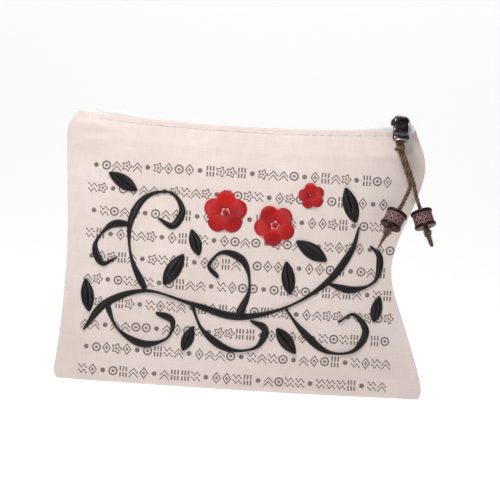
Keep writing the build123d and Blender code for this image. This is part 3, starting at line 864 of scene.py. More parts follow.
@dataclass
class Form:
    """One panel's outer face, from the same outline as the CAD, with the cloth's own relief in mm."""

    side: Side
    stations: tuple[Station, ...] = (
        Station(0.0, 110.4, 110.8, 6.5, 2.2), Station(2.0, 111.7, 112.0, 8.3, 2.2),
        Station(7.0, 112.3, 112.3, 9.7, 2.2), Station(24.0, 110.5, 107.4, 11.4, 2.2),
        Station(48.0, 109.0, 98.6, 12.2, 2.2), Station(78.0, 108.3, 89.8, 12.2, 2.2),
        Station(104.0, 109.4, 95.8, 11.2, 2.4), Station(128.0, 111.0, 104.4, 9.8, 3.2),
        Station(145.0, 112.1, 106.2, 8.4, 6.0), Station(157.0, 110.6, 102.0, 7.2, 14.0),
        Station(163.0, 106.6, 99.6, 6.8, 20.0), Station(174.0, 102.6, 98.4, 6.8, 20.0),
    )
    mouth_depth: float = 6.8
    fuller: float = 0.25
    canvas: float = 0.9
    edge_low: float = 158.8
    edge_low_at: float = -7.4
    edge_radius: float = 1250.0
    hem_down: float = 14.5
    stitch_down: float = 2.6
    curve_points: int = 8
    step: float = 0.5
    slope_step: float = 0.8
    sway: tuple[float, float] = (0.42, 0.3)
    sway_below: float = 20.0
    hem_high: float = 0.34
    seat_deep: float = 0.3
    gather_high: float = 0.1
    gather_wave: float = 8.8
    ripple_high: float = 0.34
    ripple_wave: float = 11.0
    ripple_reach: float = 7.0
    foot_high: float = 0.3
    foot_wave: float = 13.0
    foot_reach: float = 8.0
    seam_fade: float = 5.0
    foot_fade: float = 3.0

    @property
    def sign(self) -> int:
        """-1 in front of the seam plane, 1 behind it."""
        return self.side.value

    @property
    def word(self) -> str:
        """The side's name as the pieces have it."""
        return self.side.name.lower()

    @cached_property
    def heights(self) -> Points:
        """The stations' heights."""
        return np.array([s.height for s in self.stations])

    def spline(self, knots: Points, at: Points) -> Points:
        """Weights of a natural cubic line through knots.

        Args:
            knots: Where the line is given.
            at: Where it is wanted.

        Returns:
            One row of weights for each wanted place.
        """
        n, gaps = len(knots), np.diff(knots)
        left, right = np.eye(n), np.zeros((n, n))
        for i in range(1, n - 1):
            left[i, i - 1: i + 2] = gaps[i - 1], 2 * (gaps[i - 1] + gaps[i]), gaps[i]
            right[i, i - 1], right[i, i + 1] = 6 / gaps[i - 1], 6 / gaps[i]
            right[i, i] = -6 / gaps[i - 1] - 6 / gaps[i]
        bend = np.linalg.solve(left, right)
        k = np.clip(np.searchsorted(knots, at, side="right") - 1, 0, n - 2)
        h = gaps[k]
        a, b = (knots[k + 1] - at) / h, (at - knots[k]) / h
        rows, eye = np.arange(len(at)), np.zeros((len(at), n))
        eye[rows, k] += a
        eye[rows, k + 1] += b
        cubic = ((a**3 - a) * h**2 / 6)[:, None] * bend[k] + ((b**3 - b) * h**2 / 6)[:, None] * bend[k + 1]
        return eye + cubic

    def plan(self, shares: Points) -> tuple[Points, Points]:
        """Plan curves at every station.

        Args:
            shares: Places across, from -1 at the left seam to 1 at the right.

        Returns:
            X and depth, one row for each station, in millimetres.
        """
        knots = np.arange(-self.curve_points, self.curve_points + 1, dtype=float)
        weights = self.spline(knots, shares * self.curve_points)
        share = np.sin(pi / 2 * knots / self.curve_points)
        xs, ys = [], []
        for s in self.stations:
            depth = s.depth
            if self.side is Side.BACK:
                depth += self.fuller * (s.depth - self.mouth_depth)
            half, middle = (s.right + s.left) / 2, (s.right - s.left) / 2
            xs.append(weights @ (middle + half * share))
            ys.append(weights @ (depth * (1 - np.abs(share) ** s.square)))
        return np.array(xs), np.array(ys)

    @cached_property
    def table(self) -> tuple[Points, Points, Points]:
        """Depth over a regular grid of x and z, in millimetres."""
        shares = np.linspace(-1, 1, 401)
        plan_x, plan_y = self.plan(shares)
        z = np.arange(0, self.heights[-1] + self.step, self.step)
        weights = self.spline(self.heights, z)
        rows_x, rows_y = weights @ plan_x, weights @ plan_y
        x = np.arange(-114, 114 + self.step, self.step)
        depth = np.array([np.interp(x, rx, ry, left=0, right=0) for rx, ry in zip(rows_x, rows_y)])
        return x, z, depth

    def bare_depth(self, x: Points, z: Points) -> Points:
        """Depth of the plain form, in millimetres, read from the table."""
        xs, zs, depth = self.table
        i = np.clip((np.asarray(z) - zs[0]) / self.step, 0, len(zs) - 1.001)
        j = np.clip((np.asarray(x) - xs[0]) / self.step, 0, len(xs) - 1.001)
        i0, j0 = i.astype(int), j.astype(int)
        a, b = i - i0, j - j0
        low = depth[i0, j0] * (1 - b) + depth[i0, j0 + 1] * b
        high = depth[i0 + 1, j0] * (1 - b) + depth[i0 + 1, j0 + 1] * b
        return low * (1 - a) + high * a

    def edge(self, x: Points) -> Points:
        """Height of the canvas edge at the mouth, in millimetres."""
        return self.edge_low + (np.asarray(x) - self.edge_low_at) ** 2 / (2 * self.edge_radius)

    def sides(self, z: Points) -> tuple[Points, Points]:
        """The seams' places at a height, in millimetres."""
        weights = self.spline(self.heights, np.asarray(z, float).ravel())
        left = weights @ np.array([-s.left for s in self.stations])
        right = weights @ np.array([s.right for s in self.stations])
        shape = np.shape(z)
        return left.reshape(shape), right.reshape(shape)

    @property
    def folds(self) -> tuple[Fold, ...]:
        """The creases that the cloth keeps."""
        if self.side is Side.BACK:
            return (Fold((-104, 150), (-76, 143), 3.5, 0.7), Fold((96, 152), (66, 140), 4.0, 0.8),
                    Fold((-60, 60), (20, 96), 16.0, 0.8), Fold((92, 60), (58, 74), 5.0, -0.6),
                    Fold((-96, 18), (-64, 26), 4.5, 0.6))
        return (Fold((-106, 157), (-78, 153), 2.6, 0.75), Fold((-107, 149.5), (-84, 149), 2.2, -0.55),
                Fold((-106, 143), (-86, 146), 3.0, 0.5), Fold((-108, 132), (-92, 134), 3.5, -0.4),
                Fold((70, 150), (96, 145), 4.0, 0.7), Fold((76, 141), (98, 133), 4.0, -0.5),
                Fold((92, 122), (70, 112), 5.0, 0.5), Fold((86, 96), (70, 92), 4.0, -0.5),
                Fold((86, 62), (68, 70), 5.0, 0.45), Fold((-74, 2), (-70, 20), 2.8, -0.8),
                Fold((-68, 2), (-62, 24), 3.2, 0.5), Fold((98, 10), (70, 20), 5.0, 0.45),
                Fold((-102, 30), (-96, 90), 6.0, 0.4), Fold((30, 4), (34, 18), 3.0, -0.35))

    def relief(self, x: Points, z: Points) -> Points:
        """What the cloth adds to the plain form at places, in millimetres, fading to 0 at the seams."""
        left, right = self.sides(z)
        to_side = np.minimum(x - left, right - x)
        below = self.edge(x) - z
        phase = 0.0 if self.side is Side.FRONT else 1.7
        wide_wave, short_wave = np.sin(x / 31 + z / 43 + phase), np.sin(x / 17 - z / 29 + 2 * phase)
        sway = self.sway[0] * wide_wave + self.sway[1] * short_wave
        hem = self.hem_high * ridge(below - self.hem_down - 1.2 * np.sin(x / 38 + phase), 2.4)
        seat = -self.seat_deep * ridge(below - self.stitch_down, 1.1)
        drawn = np.sin(x * 2 * pi / self.gather_wave + 1.4 * np.sin(x / 23))
        gather = self.gather_high * drawn * ridge(below - 5, 5)
        pull = np.sin(z * 2 * pi / self.ripple_wave + 1.6 * np.sin(z / 19 + phase) + (x > 0) * 2.1)
        ripple = self.ripple_high * pull * np.exp(-np.maximum(to_side, 0) / self.ripple_reach)
        sunk = np.sin(x * 2 * pi / self.foot_wave + 2.2 * np.sin(x / 27 + phase))
        foot = self.foot_high * sunk * np.exp(-z / self.foot_reach)
        body = sway * np.clip(below / self.sway_below, 0, 1) + hem + seat + gather + ripple + foot
        body = body + sum(fold.height(x, z) for fold in self.folds)
        return body * np.clip(to_side / self.seam_fade, 0, 1) * np.clip(z / self.foot_fade, 0, 1)

    def depth(self, x: Points, z: Points) -> Points:
        """How far the cloth's face stands from the seam plane, in millimetres."""
        x, z = np.asarray(x, float), np.asarray(z, float)
        return self.bare_depth(x, z) + self.relief(x, z)

    def at(self, x: Points, z: Points, lift: float = 0.0) -> Points:
        """Points on the cloth's face, in metres, from places and a lift in millimetres."""
        x, z = np.asarray(x, float), np.asarray(z, float)
        y = self.sign * self.depth(x, z)
        return np.stack([x, y, z], -1) * MM + self.out(x, z) * lift * MM

    def out(self, x: Points, z: Points) -> Points:
        """The cloth's outward directions."""
        x, z = np.asarray(x, float), np.asarray(z, float)
        h = self.slope_step
        slope_x = (self.depth(x + h, z) - self.depth(x - h, z)) / (2 * h)
        slope_z = (self.depth(x, z + h) - self.depth(x, z - h)) / (2 * h)
        return unit(np.stack([-slope_x, np.full_like(slope_x, self.sign), -slope_z], -1))

    def line(self, flat: Points, lift: float, wide: Points, slant: float) -> dict:
        """A line on the cloth for seed_line.

        Args:
            flat: Its places along and up the pouch, in millimetres.
            lift: How far above the cloth it lies, in millimetres.
            wide: Its half width at each place, in millimetres.
            slant: Its threads' angle from its own way, in radians.

        Returns:
            The line.
        """
        points, out = self.at(flat[:, 0], flat[:, 1], lift), self.out(flat[:, 0], flat[:, 1])
        way = unit(np.gradient(points, axis=0))
        along = way * cos(slant) + np.cross(out, way) * sin(slant)
        return {"points": points, "out": out, "along": along, "wide": wide * MM}


@dataclass
class Panel:
    """One canvas panel: its face, its foot, the rolled edge at the mouth and its inner face."""

    form: Form
    columns: int = 190
    rows: int = 140
    foot_rows: int = 7
    roll_rows: int = 5
    flat: tuple[float, float] = (0.243, 0.186)

    def build(self) -> bpy.types.Object:
        """Make the panel as one closed sheet of real thickness."""
        form = self.form
        shares = np.linspace(-1, 1, self.columns)
        plan_x, plan_y = form.plan(shares)
        top = np.full(self.columns, form.edge_low)
        for _ in range(6):
            weights = form.spline(form.heights, top)
            top = form.edge(np.einsum("ij,ji->i", weights, plan_x))
        rise = np.linspace(0, 1, self.rows)[:, None] * top[None, :]
        weights = form.spline(form.heights, rise.ravel()).reshape(self.rows, self.columns, -1)
        x = np.einsum("rcs,sc->rc", weights, plan_x)
        bare = np.einsum("rcs,sc->rc", weights, plan_y)
        face_y = bare + form.relief(x, rise)
        face = np.stack([x, form.sign * np.maximum(face_y, 0), rise], -1)
        foot = [face[0] * (1, k, 1) for k in np.linspace(0, 1, self.foot_rows, endpoint=False)]
        outer = np.concatenate([np.array(foot), face])
        inner = self.inner_of(outer)
        roll = self.roll_of(outer[-1], inner[-1])
        rings = np.concatenate([outer, roll, inner[::-1]])
        count = len(rings)
        uv = np.stack([rings[..., 0], way_along(rings)], -1) * MM
        faces = grid_faces(count, self.columns, round_rows=True)
        for column in (0, self.columns - 1):
            faces += edge_faces(range(column, count * self.columns, self.columns))
        return piece_of(f"canvas_{form.word}", rings * MM, faces, uv, mended=True)

    def inner_of(self, outer: Points) -> Points:
        """The inner face's rows, one thickness inside the outer face's."""
        form = self.form
        inner = outer.copy()
        thick = form.canvas
        depth = np.abs(outer[..., 1])
        inner[..., 1] = form.sign * np.maximum(depth - thick, 0.02)
        inner[: self.foot_rows + 1, :, 2] = np.maximum(inner[: self.foot_rows + 1, :, 2], thick)
        middle = (outer[..., 0].min(axis=1) + outer[..., 0].max(axis=1))[:, None] / 2
        half = (outer[..., 0].max(axis=1) - outer[..., 0].min(axis=1))[:, None] / 2
        inner[..., 0] = middle + (outer[..., 0] - middle) * (1 - thick / half)
        return inner

    def roll_of(self, last: Points, first: Points) -> Points:
        """The rows of the rounded fold between the outer face's and the inner face's top rows."""
        middle, half = (last + first) / 2, (last - first) / 2
        turns = np.linspace(0, pi, self.roll_rows + 2)[1:-1]
        up = np.linalg.norm(half, axis=-1)[:, None] * np.array([0, 0, 1.0])
        return np.array([middle + half * cos(t) + up * sin(t) for t in turns])


@dataclass
class Pouch:
    """The two canvas panels."""

    front: Form
    back: Form

    def build(self) -> None:
        """Build both panels and hide the CAD panels that they stand for."""
        for form, finish in ((self.front, CANVAS), (self.back, PLAIN_CANVAS)):
            panel, side = Panel(form), form.word
            piece = dress(panel.build(), finish, "pouch", f"{side}_panel")


# ------------------------------------------------------------------- stitches

class StitchTree:
    """Threads laid as low arches along lines, at an even pitch."""

    def __init__(self) -> None:
        """Build the tree once."""
        geo = Geo("laid_threads", "Pitch", "Thread", "Rise")
        arch = geo.arch(6, (0, -1, -0.12), [(0, -0.95, 1.1), (0, 0.95, 1.1)], (0, 1, -0.12))
        wide = geo.named("wide", "FLOAT")
        threads = geo.copies(geo.laid(), arch, geo.facing(), geo.join(wide, wide, geo.entry["Rise"]))
        geo.finish(threads, 5, geo.entry["Thread"])
        self.geo = geo

    def lay(self, name: str, lines: Sequence[dict], finish: Finish, pitch: float, thread: float,
            rise: float) -> bpy.types.Object:
        """Lay threads along lines.

        Args:
            name: The new piece's name.
            lines: As for seed_line.
            finish: The thread.
            pitch: From one thread to the next, in metres.
            thread: A thread's radius, in metres.
            rise: Height of the arch, in metres.

        Returns:
            The piece.
        """
        seed = seed_line(name + "_seed", lines)
        return self.geo.grow(seed, name, Pitch=pitch, Thread=thread, Rise=rise, Material=finish.material())


@dataclass
class Embroidery:
    """The raised satin-stitch scrolls, leaves and blossoms on the front."""

    form: Form
    stitches: StitchTree
    branches: tuple = (
        ((-95, 31), (-82, 48), (-58, 57), (-30, 51), (-2, 45), (26, 52), (50, 68), (64, 88), (68, 103)),
        ((-58, 57), (-68, 76), (-70, 97), (-62, 113), (-47, 117), (-39, 107), (-44, 97), (-53, 101)),
        ((-82, 48), (-74, 33), (-59, 25), (-44, 29), (-41, 40), (-51, 44)),
        ((-30, 51), (-22, 35), (-6, 25), (10, 27), (15, 38), (6, 43)),
        ((26, 52), (38, 38), (53, 27), (69, 28), (76, 40), (68, 50), (59, 45)),
        ((50, 68), (66, 65), (80, 71), (82, 85), (76, 92)),
        ((-70, 97), (-82, 95), (-91, 83), (-86, 72), (-77, 76)),
        ((-2, 45), (4, 62), (0, 78), (-13, 83), (-21, 75), (-15, 68)),
    )
    leaves: tuple = (
        (-42, 71, 22, 9, 60), (-94, 52, 20, 8, 100), (27, 70, 20, 8, 100), (40, 87, 22, 9, 150),
        (-76, 122, 20, 8, 150), (28, 32, 19, 8, -50), (82, 54, 16, 7, 80), (-31, 30, 16, 7, 70),
        (62, 116, 22, 9, 110), (-30, 88, 16, 7, 110),
    )
    blossoms: tuple = ((-13, 107, 1.0, 0), (17, 101, 0.95, 30), (38, 120, 0.6, 12))
    half_width: float = 2.15
    petal: float = 5.6
    petal_ring: float = 7.4
    petals: int = 5
    stamen: float = 1.7
    lift: float = 0.15
    thinnest: float = 0.25
    branch_slant: float = 0.3
    leaf_slant: float = 0.55
    pitch: float = 0.00052
    thread: float = 0.00034
    rise: float = 0.0011

    def line(self, flat: Points, wide: Points, slant: float) -> dict:
        """A line of satin stitches, never thinner than a few threads."""
        return self.form.line(flat, self.lift, np.maximum(wide, self.thinnest), slant)

    def branch(self, points: Sequence, number: int) -> dict:
        """A scroll whose width swells and thins as a brush line does."""
        flat = smooth_line(points, 160)
        s = np.linspace(0, 1, len(flat))
        swell = 0.62 + 0.38 * np.sin(s * pi * (2.0 + len(points) * 0.35) + number)
        ends = np.clip(np.minimum(s / 0.06, (1 - s) / 0.1), 0, 1) ** 0.6
        return self.line(flat, self.half_width * swell * (0.25 + 0.75 * ends), self.branch_slant)

    def leaf(self, x: float, z: float, long: float, wide: float, turn: float) -> list[dict]:
        """A leaf of two slanted halves about a vein."""
        s = np.linspace(0.02, 0.98, 40)
        half = wide / 2 * np.sin(pi * s) ** 0.8
        along = (s - 0.5) * long
        return [self.line(self.turned(along, side * half / 2, x, z, turn), half * 0.56,
                          side * self.leaf_slant) for side in (-1, 1)]

    def turned(self, along: Points, across: Points, x: float, z: float, turn: float) -> Points:
        """Places turned by so many degrees and moved to a middle."""
        c, t = cos(radians(turn)), sin(radians(turn))
        return np.stack([x + along * c - across * t, z + along * t + across * c], 1)

    def blossom(self, x: float, z: float, size: float, turn: float) -> list[dict]:
        """Five petals of threads that run out from the middle, and a stamen."""
        lines = []
        for i in range(self.petals):
            s = np.linspace(-0.97, 0.97, 34) * self.petal * size
            reach = np.sqrt(np.maximum((self.petal * size) ** 2 - s**2, 0))
            out = self.petal_ring * size + 0.35 * size
            flat = self.turned(s, np.full_like(s, out), x, z, 360 / self.petals * i + turn)
            lines.append(self.line(flat, reach * 0.94, 0.0))
        s = np.linspace(-0.95, 0.95, 12) * self.stamen * size
        flat = np.stack([x + s, np.full_like(s, z)], 1)
        lines.append(self.line(flat, np.sqrt(np.maximum((self.stamen * size) ** 2 - s**2, 0)), 0.0))
        return lines

    def build(self) -> None:
        """Stitch both colours."""
        black = [self.branch(points, i) for i, points in enumerate(self.branches)]
        black += [half for values in self.leaves for half in self.leaf(*values)]
        red = [line for values in self.blossoms for line in self.blossom(*values)]
        for name, lines, finish in (("black", black, BLACK), ("red", red, RED)):
            piece = self.stitches.lay(f"satin_{name}", lines, finish, self.pitch, self.thread, self.rise)
            dress(piece, finish, "pouch", f"embroidery_{name}")


@dataclass
class Topstitching:
    """The line of machine stitches under each canvas edge."""

    form: Form
    stitches: StitchTree
    reach: float = 90.6
    long: float = 3.4
    lift: float = 0.05
    pitch: float = 0.0044
    thread: float = 0.0003
    rise: float = 0.00035

    def build(self) -> None:
        """Lay the stitches along the edge."""
        form = self.form
        x = np.linspace(-self.reach, self.reach, 400)
        flat = np.stack([x, form.edge(x) - form.stitch_down], 1)
        line = form.line(flat, self.lift, np.full(len(x), self.long / 2), -pi / 2)
        name = f"machine_stitches_{form.word}"
        piece = self.stitches.lay(name, [line], SEWING, self.pitch, self.thread, self.rise)
        dress(piece, SEWING, "pouch", f"topstitch_{form.word}")


# ------------------------------------------------------------------------ zip

@dataclass
class Chain:
    """The arc that the zip follows, in millimetres."""

    low: float = 157.5
    low_at: float = -2.0
    radius: float = 500.0
    left: float = -91.0
    tape_left: float = -93.6
    tape_right: float = 97.0
    slider_at: float = 89.6
    slider_long: float = 11.4

    def angle(self, x: float) -> float:
        """Angle from the chain's lowest point, in radians."""
        return asin((x - self.low_at) / self.radius)

    def points(self, angles: Points, down: Input = 0.0, across: Input = 0.0) -> Points:
        """Points beside the chain, in metres, from radians and from millimetres below it and along Y."""
        reach = self.radius + np.asarray(down, float)
        x = self.low_at + reach * np.sin(angles)
        z = self.low + self.radius - reach * np.cos(angles)
        return spread(x, across, z) * MM


@dataclass
class ZipTape:
    """One woven tape: flat beside the coil, rolled down behind the canvas edge."""

    chain: Chain
    form: Form
    section: tuple = ((1.9, -0.05), (3.6, -0.05), (4.55, 0.1), (5.02, 0.9), (5.05, 3.0), (5.3, 4.4),
                      (5.42, 8.0), (5.42, 13.0))
    section_steps: int = 26
    thick: float = 0.55
    steps: int = 260
    short_from: float = 86.0
    shortened: float = 0.72

    def build(self) -> None:
        """Sweep the tape's section along the chain."""
        chain = self.chain
        route = smooth_line(self.section, self.section_steps)
        tangent = unit(np.gradient(route, axis=0))
        normal = np.stack([tangent[:, 1], -tangent[:, 0]], 1)
        section = np.concatenate([route + normal * self.thick / 2, (route - normal * self.thick / 2)[::-1]])
        angles = np.linspace(chain.angle(chain.tape_left), chain.angle(chain.tape_right), self.steps)
        short = chain.angle(self.short_from)
        end = np.clip((angles - short) / (angles[-1] - short), 0, 1)
        down = section[None, :, 1] * (1 - self.shortened * end[:, None]) + (end**2)[:, None]
        rings = chain.points(angles[:, None], down, self.form.sign * section[None, :, 0])
        along = angles * chain.radius
        uv = spread(along[:, None], way_along(section)[None, :]) * MM
        count = len(section)
        faces = grid_faces(self.steps, count, round_columns=True)
        for start in (0, (self.steps - 1) * count):
            faces += edge_faces(range(start, start + count))
        side = self.form.word
        piece = piece_of(f"tape_{side}", rings, faces, uv, mended=True)
        dress(piece, TAPE, "pouch", f"zip_tape_{side}")


class CoilTree:
    """A flattened helix of monofilament along a line."""

    def __init__(self) -> None:
        """Build the tree once."""
        geo = Geo("nylon_coil", "Pitch", "Wire", "Reach", "Middle", "Height", "Lean")
        size = geo.entry
        loop = geo.ring(14, 1.0)
        x, y, _ = geo.split(geo.out("GeometryNodeInputPosition"))
        bent = geo.join(y * size["Lean"], x * size["Reach"] + size["Middle"], y * size["Height"])
        shaped = geo.out("GeometryNodeSetPosition", None, {"Geometry": loop, "Position": bent})
        geo.finish(geo.copies(geo.laid(), shaped, geo.facing()), 6, size["Wire"], caps=False)
        self.geo = geo


@dataclass
class ZipCoil:
    """The two interlocked halves of the coil."""

    chain: Chain
    tree: CoilTree
    pitch: float = 1.6
    end: float = 3.4
    wire: float = 0.00033
    reach: float = 0.0019
    middle: float = 0.001
    height: float = 0.00078
    lean: float = 0.00036

    def build(self) -> None:
        """Lay both halves, half a pitch apart."""
        chain = self.chain
        end = chain.slider_at + chain.slider_long / 2 - self.end
        for sign, side in ((-1, "front"), (1, "back")):
            shift = self.pitch / 2 if sign > 0 else 0.0
            angles = np.linspace(chain.angle(chain.left + 0.6 + shift), chain.angle(end), 400)
            points = chain.points(angles)
            way = unit(np.gradient(points, axis=0))
            up = np.cross(way, (0.0, 1.0, 0.0))
            up = up * np.sign(up[:, 2:])
            line = {"points": points, "out": up, "along": way, "wide": np.ones(len(points))}
            seed = seed_line(f"coil_{side}_seed", [line])
            piece = self.tree.geo.grow(
                seed, f"coil_{side}", Pitch=self.pitch * MM, Wire=self.wire, Reach=self.reach,
                Middle=sign * self.middle, Height=self.height, Lean=self.lean, Material=COIL.material())
            dress(piece, COIL, "pouch", f"zip_coil_{side}")


# --------------------------------------------------------------- cord charm

class FibreTree:
    """Short loose fibres that stand off a cord's surface."""

    thread = 0.00005

    def __init__(self) -> None:
        """Build the tree once."""
        geo = Geo("loose_fibres", "Density", "Long", "Thread")
        spread = geo.node("GeometryNodeDistributePointsOnFaces", None, {
            "Mesh": geo.entry["Geometry"], "Density": geo.entry["Density"], "Seed": 11})
        points, normal = Socket(geo, spread.outputs["Points"]), Socket(geo, spread.outputs["Normal"])
        hair = geo.arch(4, (0, 0, -0.1), [(0.1, 0, 0.2), (0.5, 0.1, 0.35)], (1.0, 0.25, 0.3))
        way = geo.out("FunctionNodeRandomValue", {"data_type": "FLOAT_VECTOR"}, {
            "Min": (-1.0, -1.0, -1.0), "Max": (1.0, 1.0, 1.0), "Seed": 3}, "Value")
        share = geo.out("FunctionNodeRandomValue", {"data_type": "FLOAT"}, {2: 0.35, 3: 1.0, "Seed": 5}, 1)
        size = share * geo.entry["Long"]
        hairs = geo.copies(points, hair, geo.facing(normal, way), geo.join(size, size, size))
        geo.finish(hairs, 3, geo.entry["Thread"])
        self.geo = geo

    def fray(self, piece: bpy.types.Object, name: str, hair: tuple[float, float]) -> bpy.types.Object:
        """Fibres that stand off a cord, so many to a square metre and so long in metres."""
        seed = linked(name + "_seed", piece.data.copy())
        return self.geo.grow(seed, name, Density=hair[0], Long=hair[1], Thread=self.thread,
                             Material=HEMP.material())


def turned_to(way: Vector, local: Points, at: Vector) -> Points:
    """Points about the origin, turned so that Z faces a way, and moved."""
    spin = Vector((0, 0, 1)).rotation_difference(way).to_matrix()
    return local @ np.array(spin).T + np.array(at)


@dataclass
class Bead:
    """A carved drum bead on its own strand."""

    name: str
    at: Vector
    way: Vector
    wide: float = 0.013
    long: float = 0.0105
    flange: float = 0.0021
    sunk: float = 0.0006
    bore: float = 0.00155
    corner: float = 0.0007
    lip: float = 0.00025
    chamfer: tuple[float, float] = (0.0005, 0.0003)
    cut: float = 0.00028
    border: float = 0.86
    lozenge: float = 0.62
    inside: float = 0.7
    repeats: int = 11
    around: int = 198

    def profile(self) -> Points:
        """The bead's outline, as radius and height, in metres."""
        rim, band, half = self.wide / 2, self.wide / 2 - self.sunk, self.long / 2
        low, soft, lip = half - self.flange, self.corner, self.lip
        corner = [(rim - soft + soft * sin(t), half - soft + soft * cos(t))
                  for t in np.linspace(0, pi / 2, 6)]
        out, down = self.chamfer
        upper = [(self.bore, half - down), (self.bore + out, half), *corner, (rim, low + lip),
                 (rim - lip, low)]
        lower = [(r, -h) for r, h in reversed(upper)]
        middle = [(band, h) for h in np.linspace(low - 0.0001, -low + 0.0001, 33)]
        return np.array([*upper, *middle, *lower])

    def build(self) -> bpy.types.Object:
        """Turn the bead and carve its band."""
        profile = self.profile()
        turns = turns_of(self.around)
        low = self.long / 2 - self.flange
        radius = np.repeat(profile[:, :1], self.around, 1)
        height = np.repeat(profile[:, 1:], self.around, 1)
        on_band = (np.abs(height) < low) & (radius < self.wide / 2 - self.sunk / 2)
        carved = np.where(on_band, self.carving(turns[None, :], height / low), 0.0)
        radius = radius - self.cut * carved
        local = np.stack([radius * np.cos(turns), radius * np.sin(turns), height], -1).reshape(-1, 3)
        uv = spread(turns[None, :] / (2 * pi), profile[:, 1:])
        faces = grid_faces(len(profile), self.around, round_rows=True, round_columns=True)
        piece = piece_of(self.name, turned_to(-self.way, local, self.at), faces, uv, mended=True)
        keep(piece.data, "carved", carved.ravel())
        return piece

    def carving(self, turn: Points, up: Points) -> Points:
        """How deep two border lines and a row of diamonds are cut, over a turn and from -1 to 1."""
        borders = ridge(np.abs(up) - self.border, 0.08)
        phase = np.abs(((turn * self.repeats / (2 * pi)) % 1.0) - 0.5) * 2
        slope = np.abs(up) / self.lozenge
        lozenges = ridge(phase - slope, 0.2)
        hearts = np.exp(-(((1 - phase) ** 2 + up**2) / 0.05))
        hearts = hearts + np.exp(-((phase**2 + (1 - slope) ** 2) / 0.03))
        return np.clip(borders + (lozenges + hearts) * (np.abs(up) < self.inside), 0, 1)


@dataclass(frozen=True)
class Tail:
    """A cord's frayed end below its knot, in metres."""

    long: float
    root: float
    tip: float
    yarns: int
    yarn: float
    end: float
    shortest: float
    twist: float
    seed: int


LONG_TAIL = Tail(long=0.0135, root=0.0009, tip=0.0003, yarns=8, yarn=0.00052, end=0.22, shortest=0.62,
                 twist=2.4, seed=4)
BLUNT_TAIL = Tail(long=0.0078, root=0.0009, tip=0.0012, yarns=9, yarn=0.0006, end=0.75, shortest=0.8,
                  twist=1.8, seed=9)


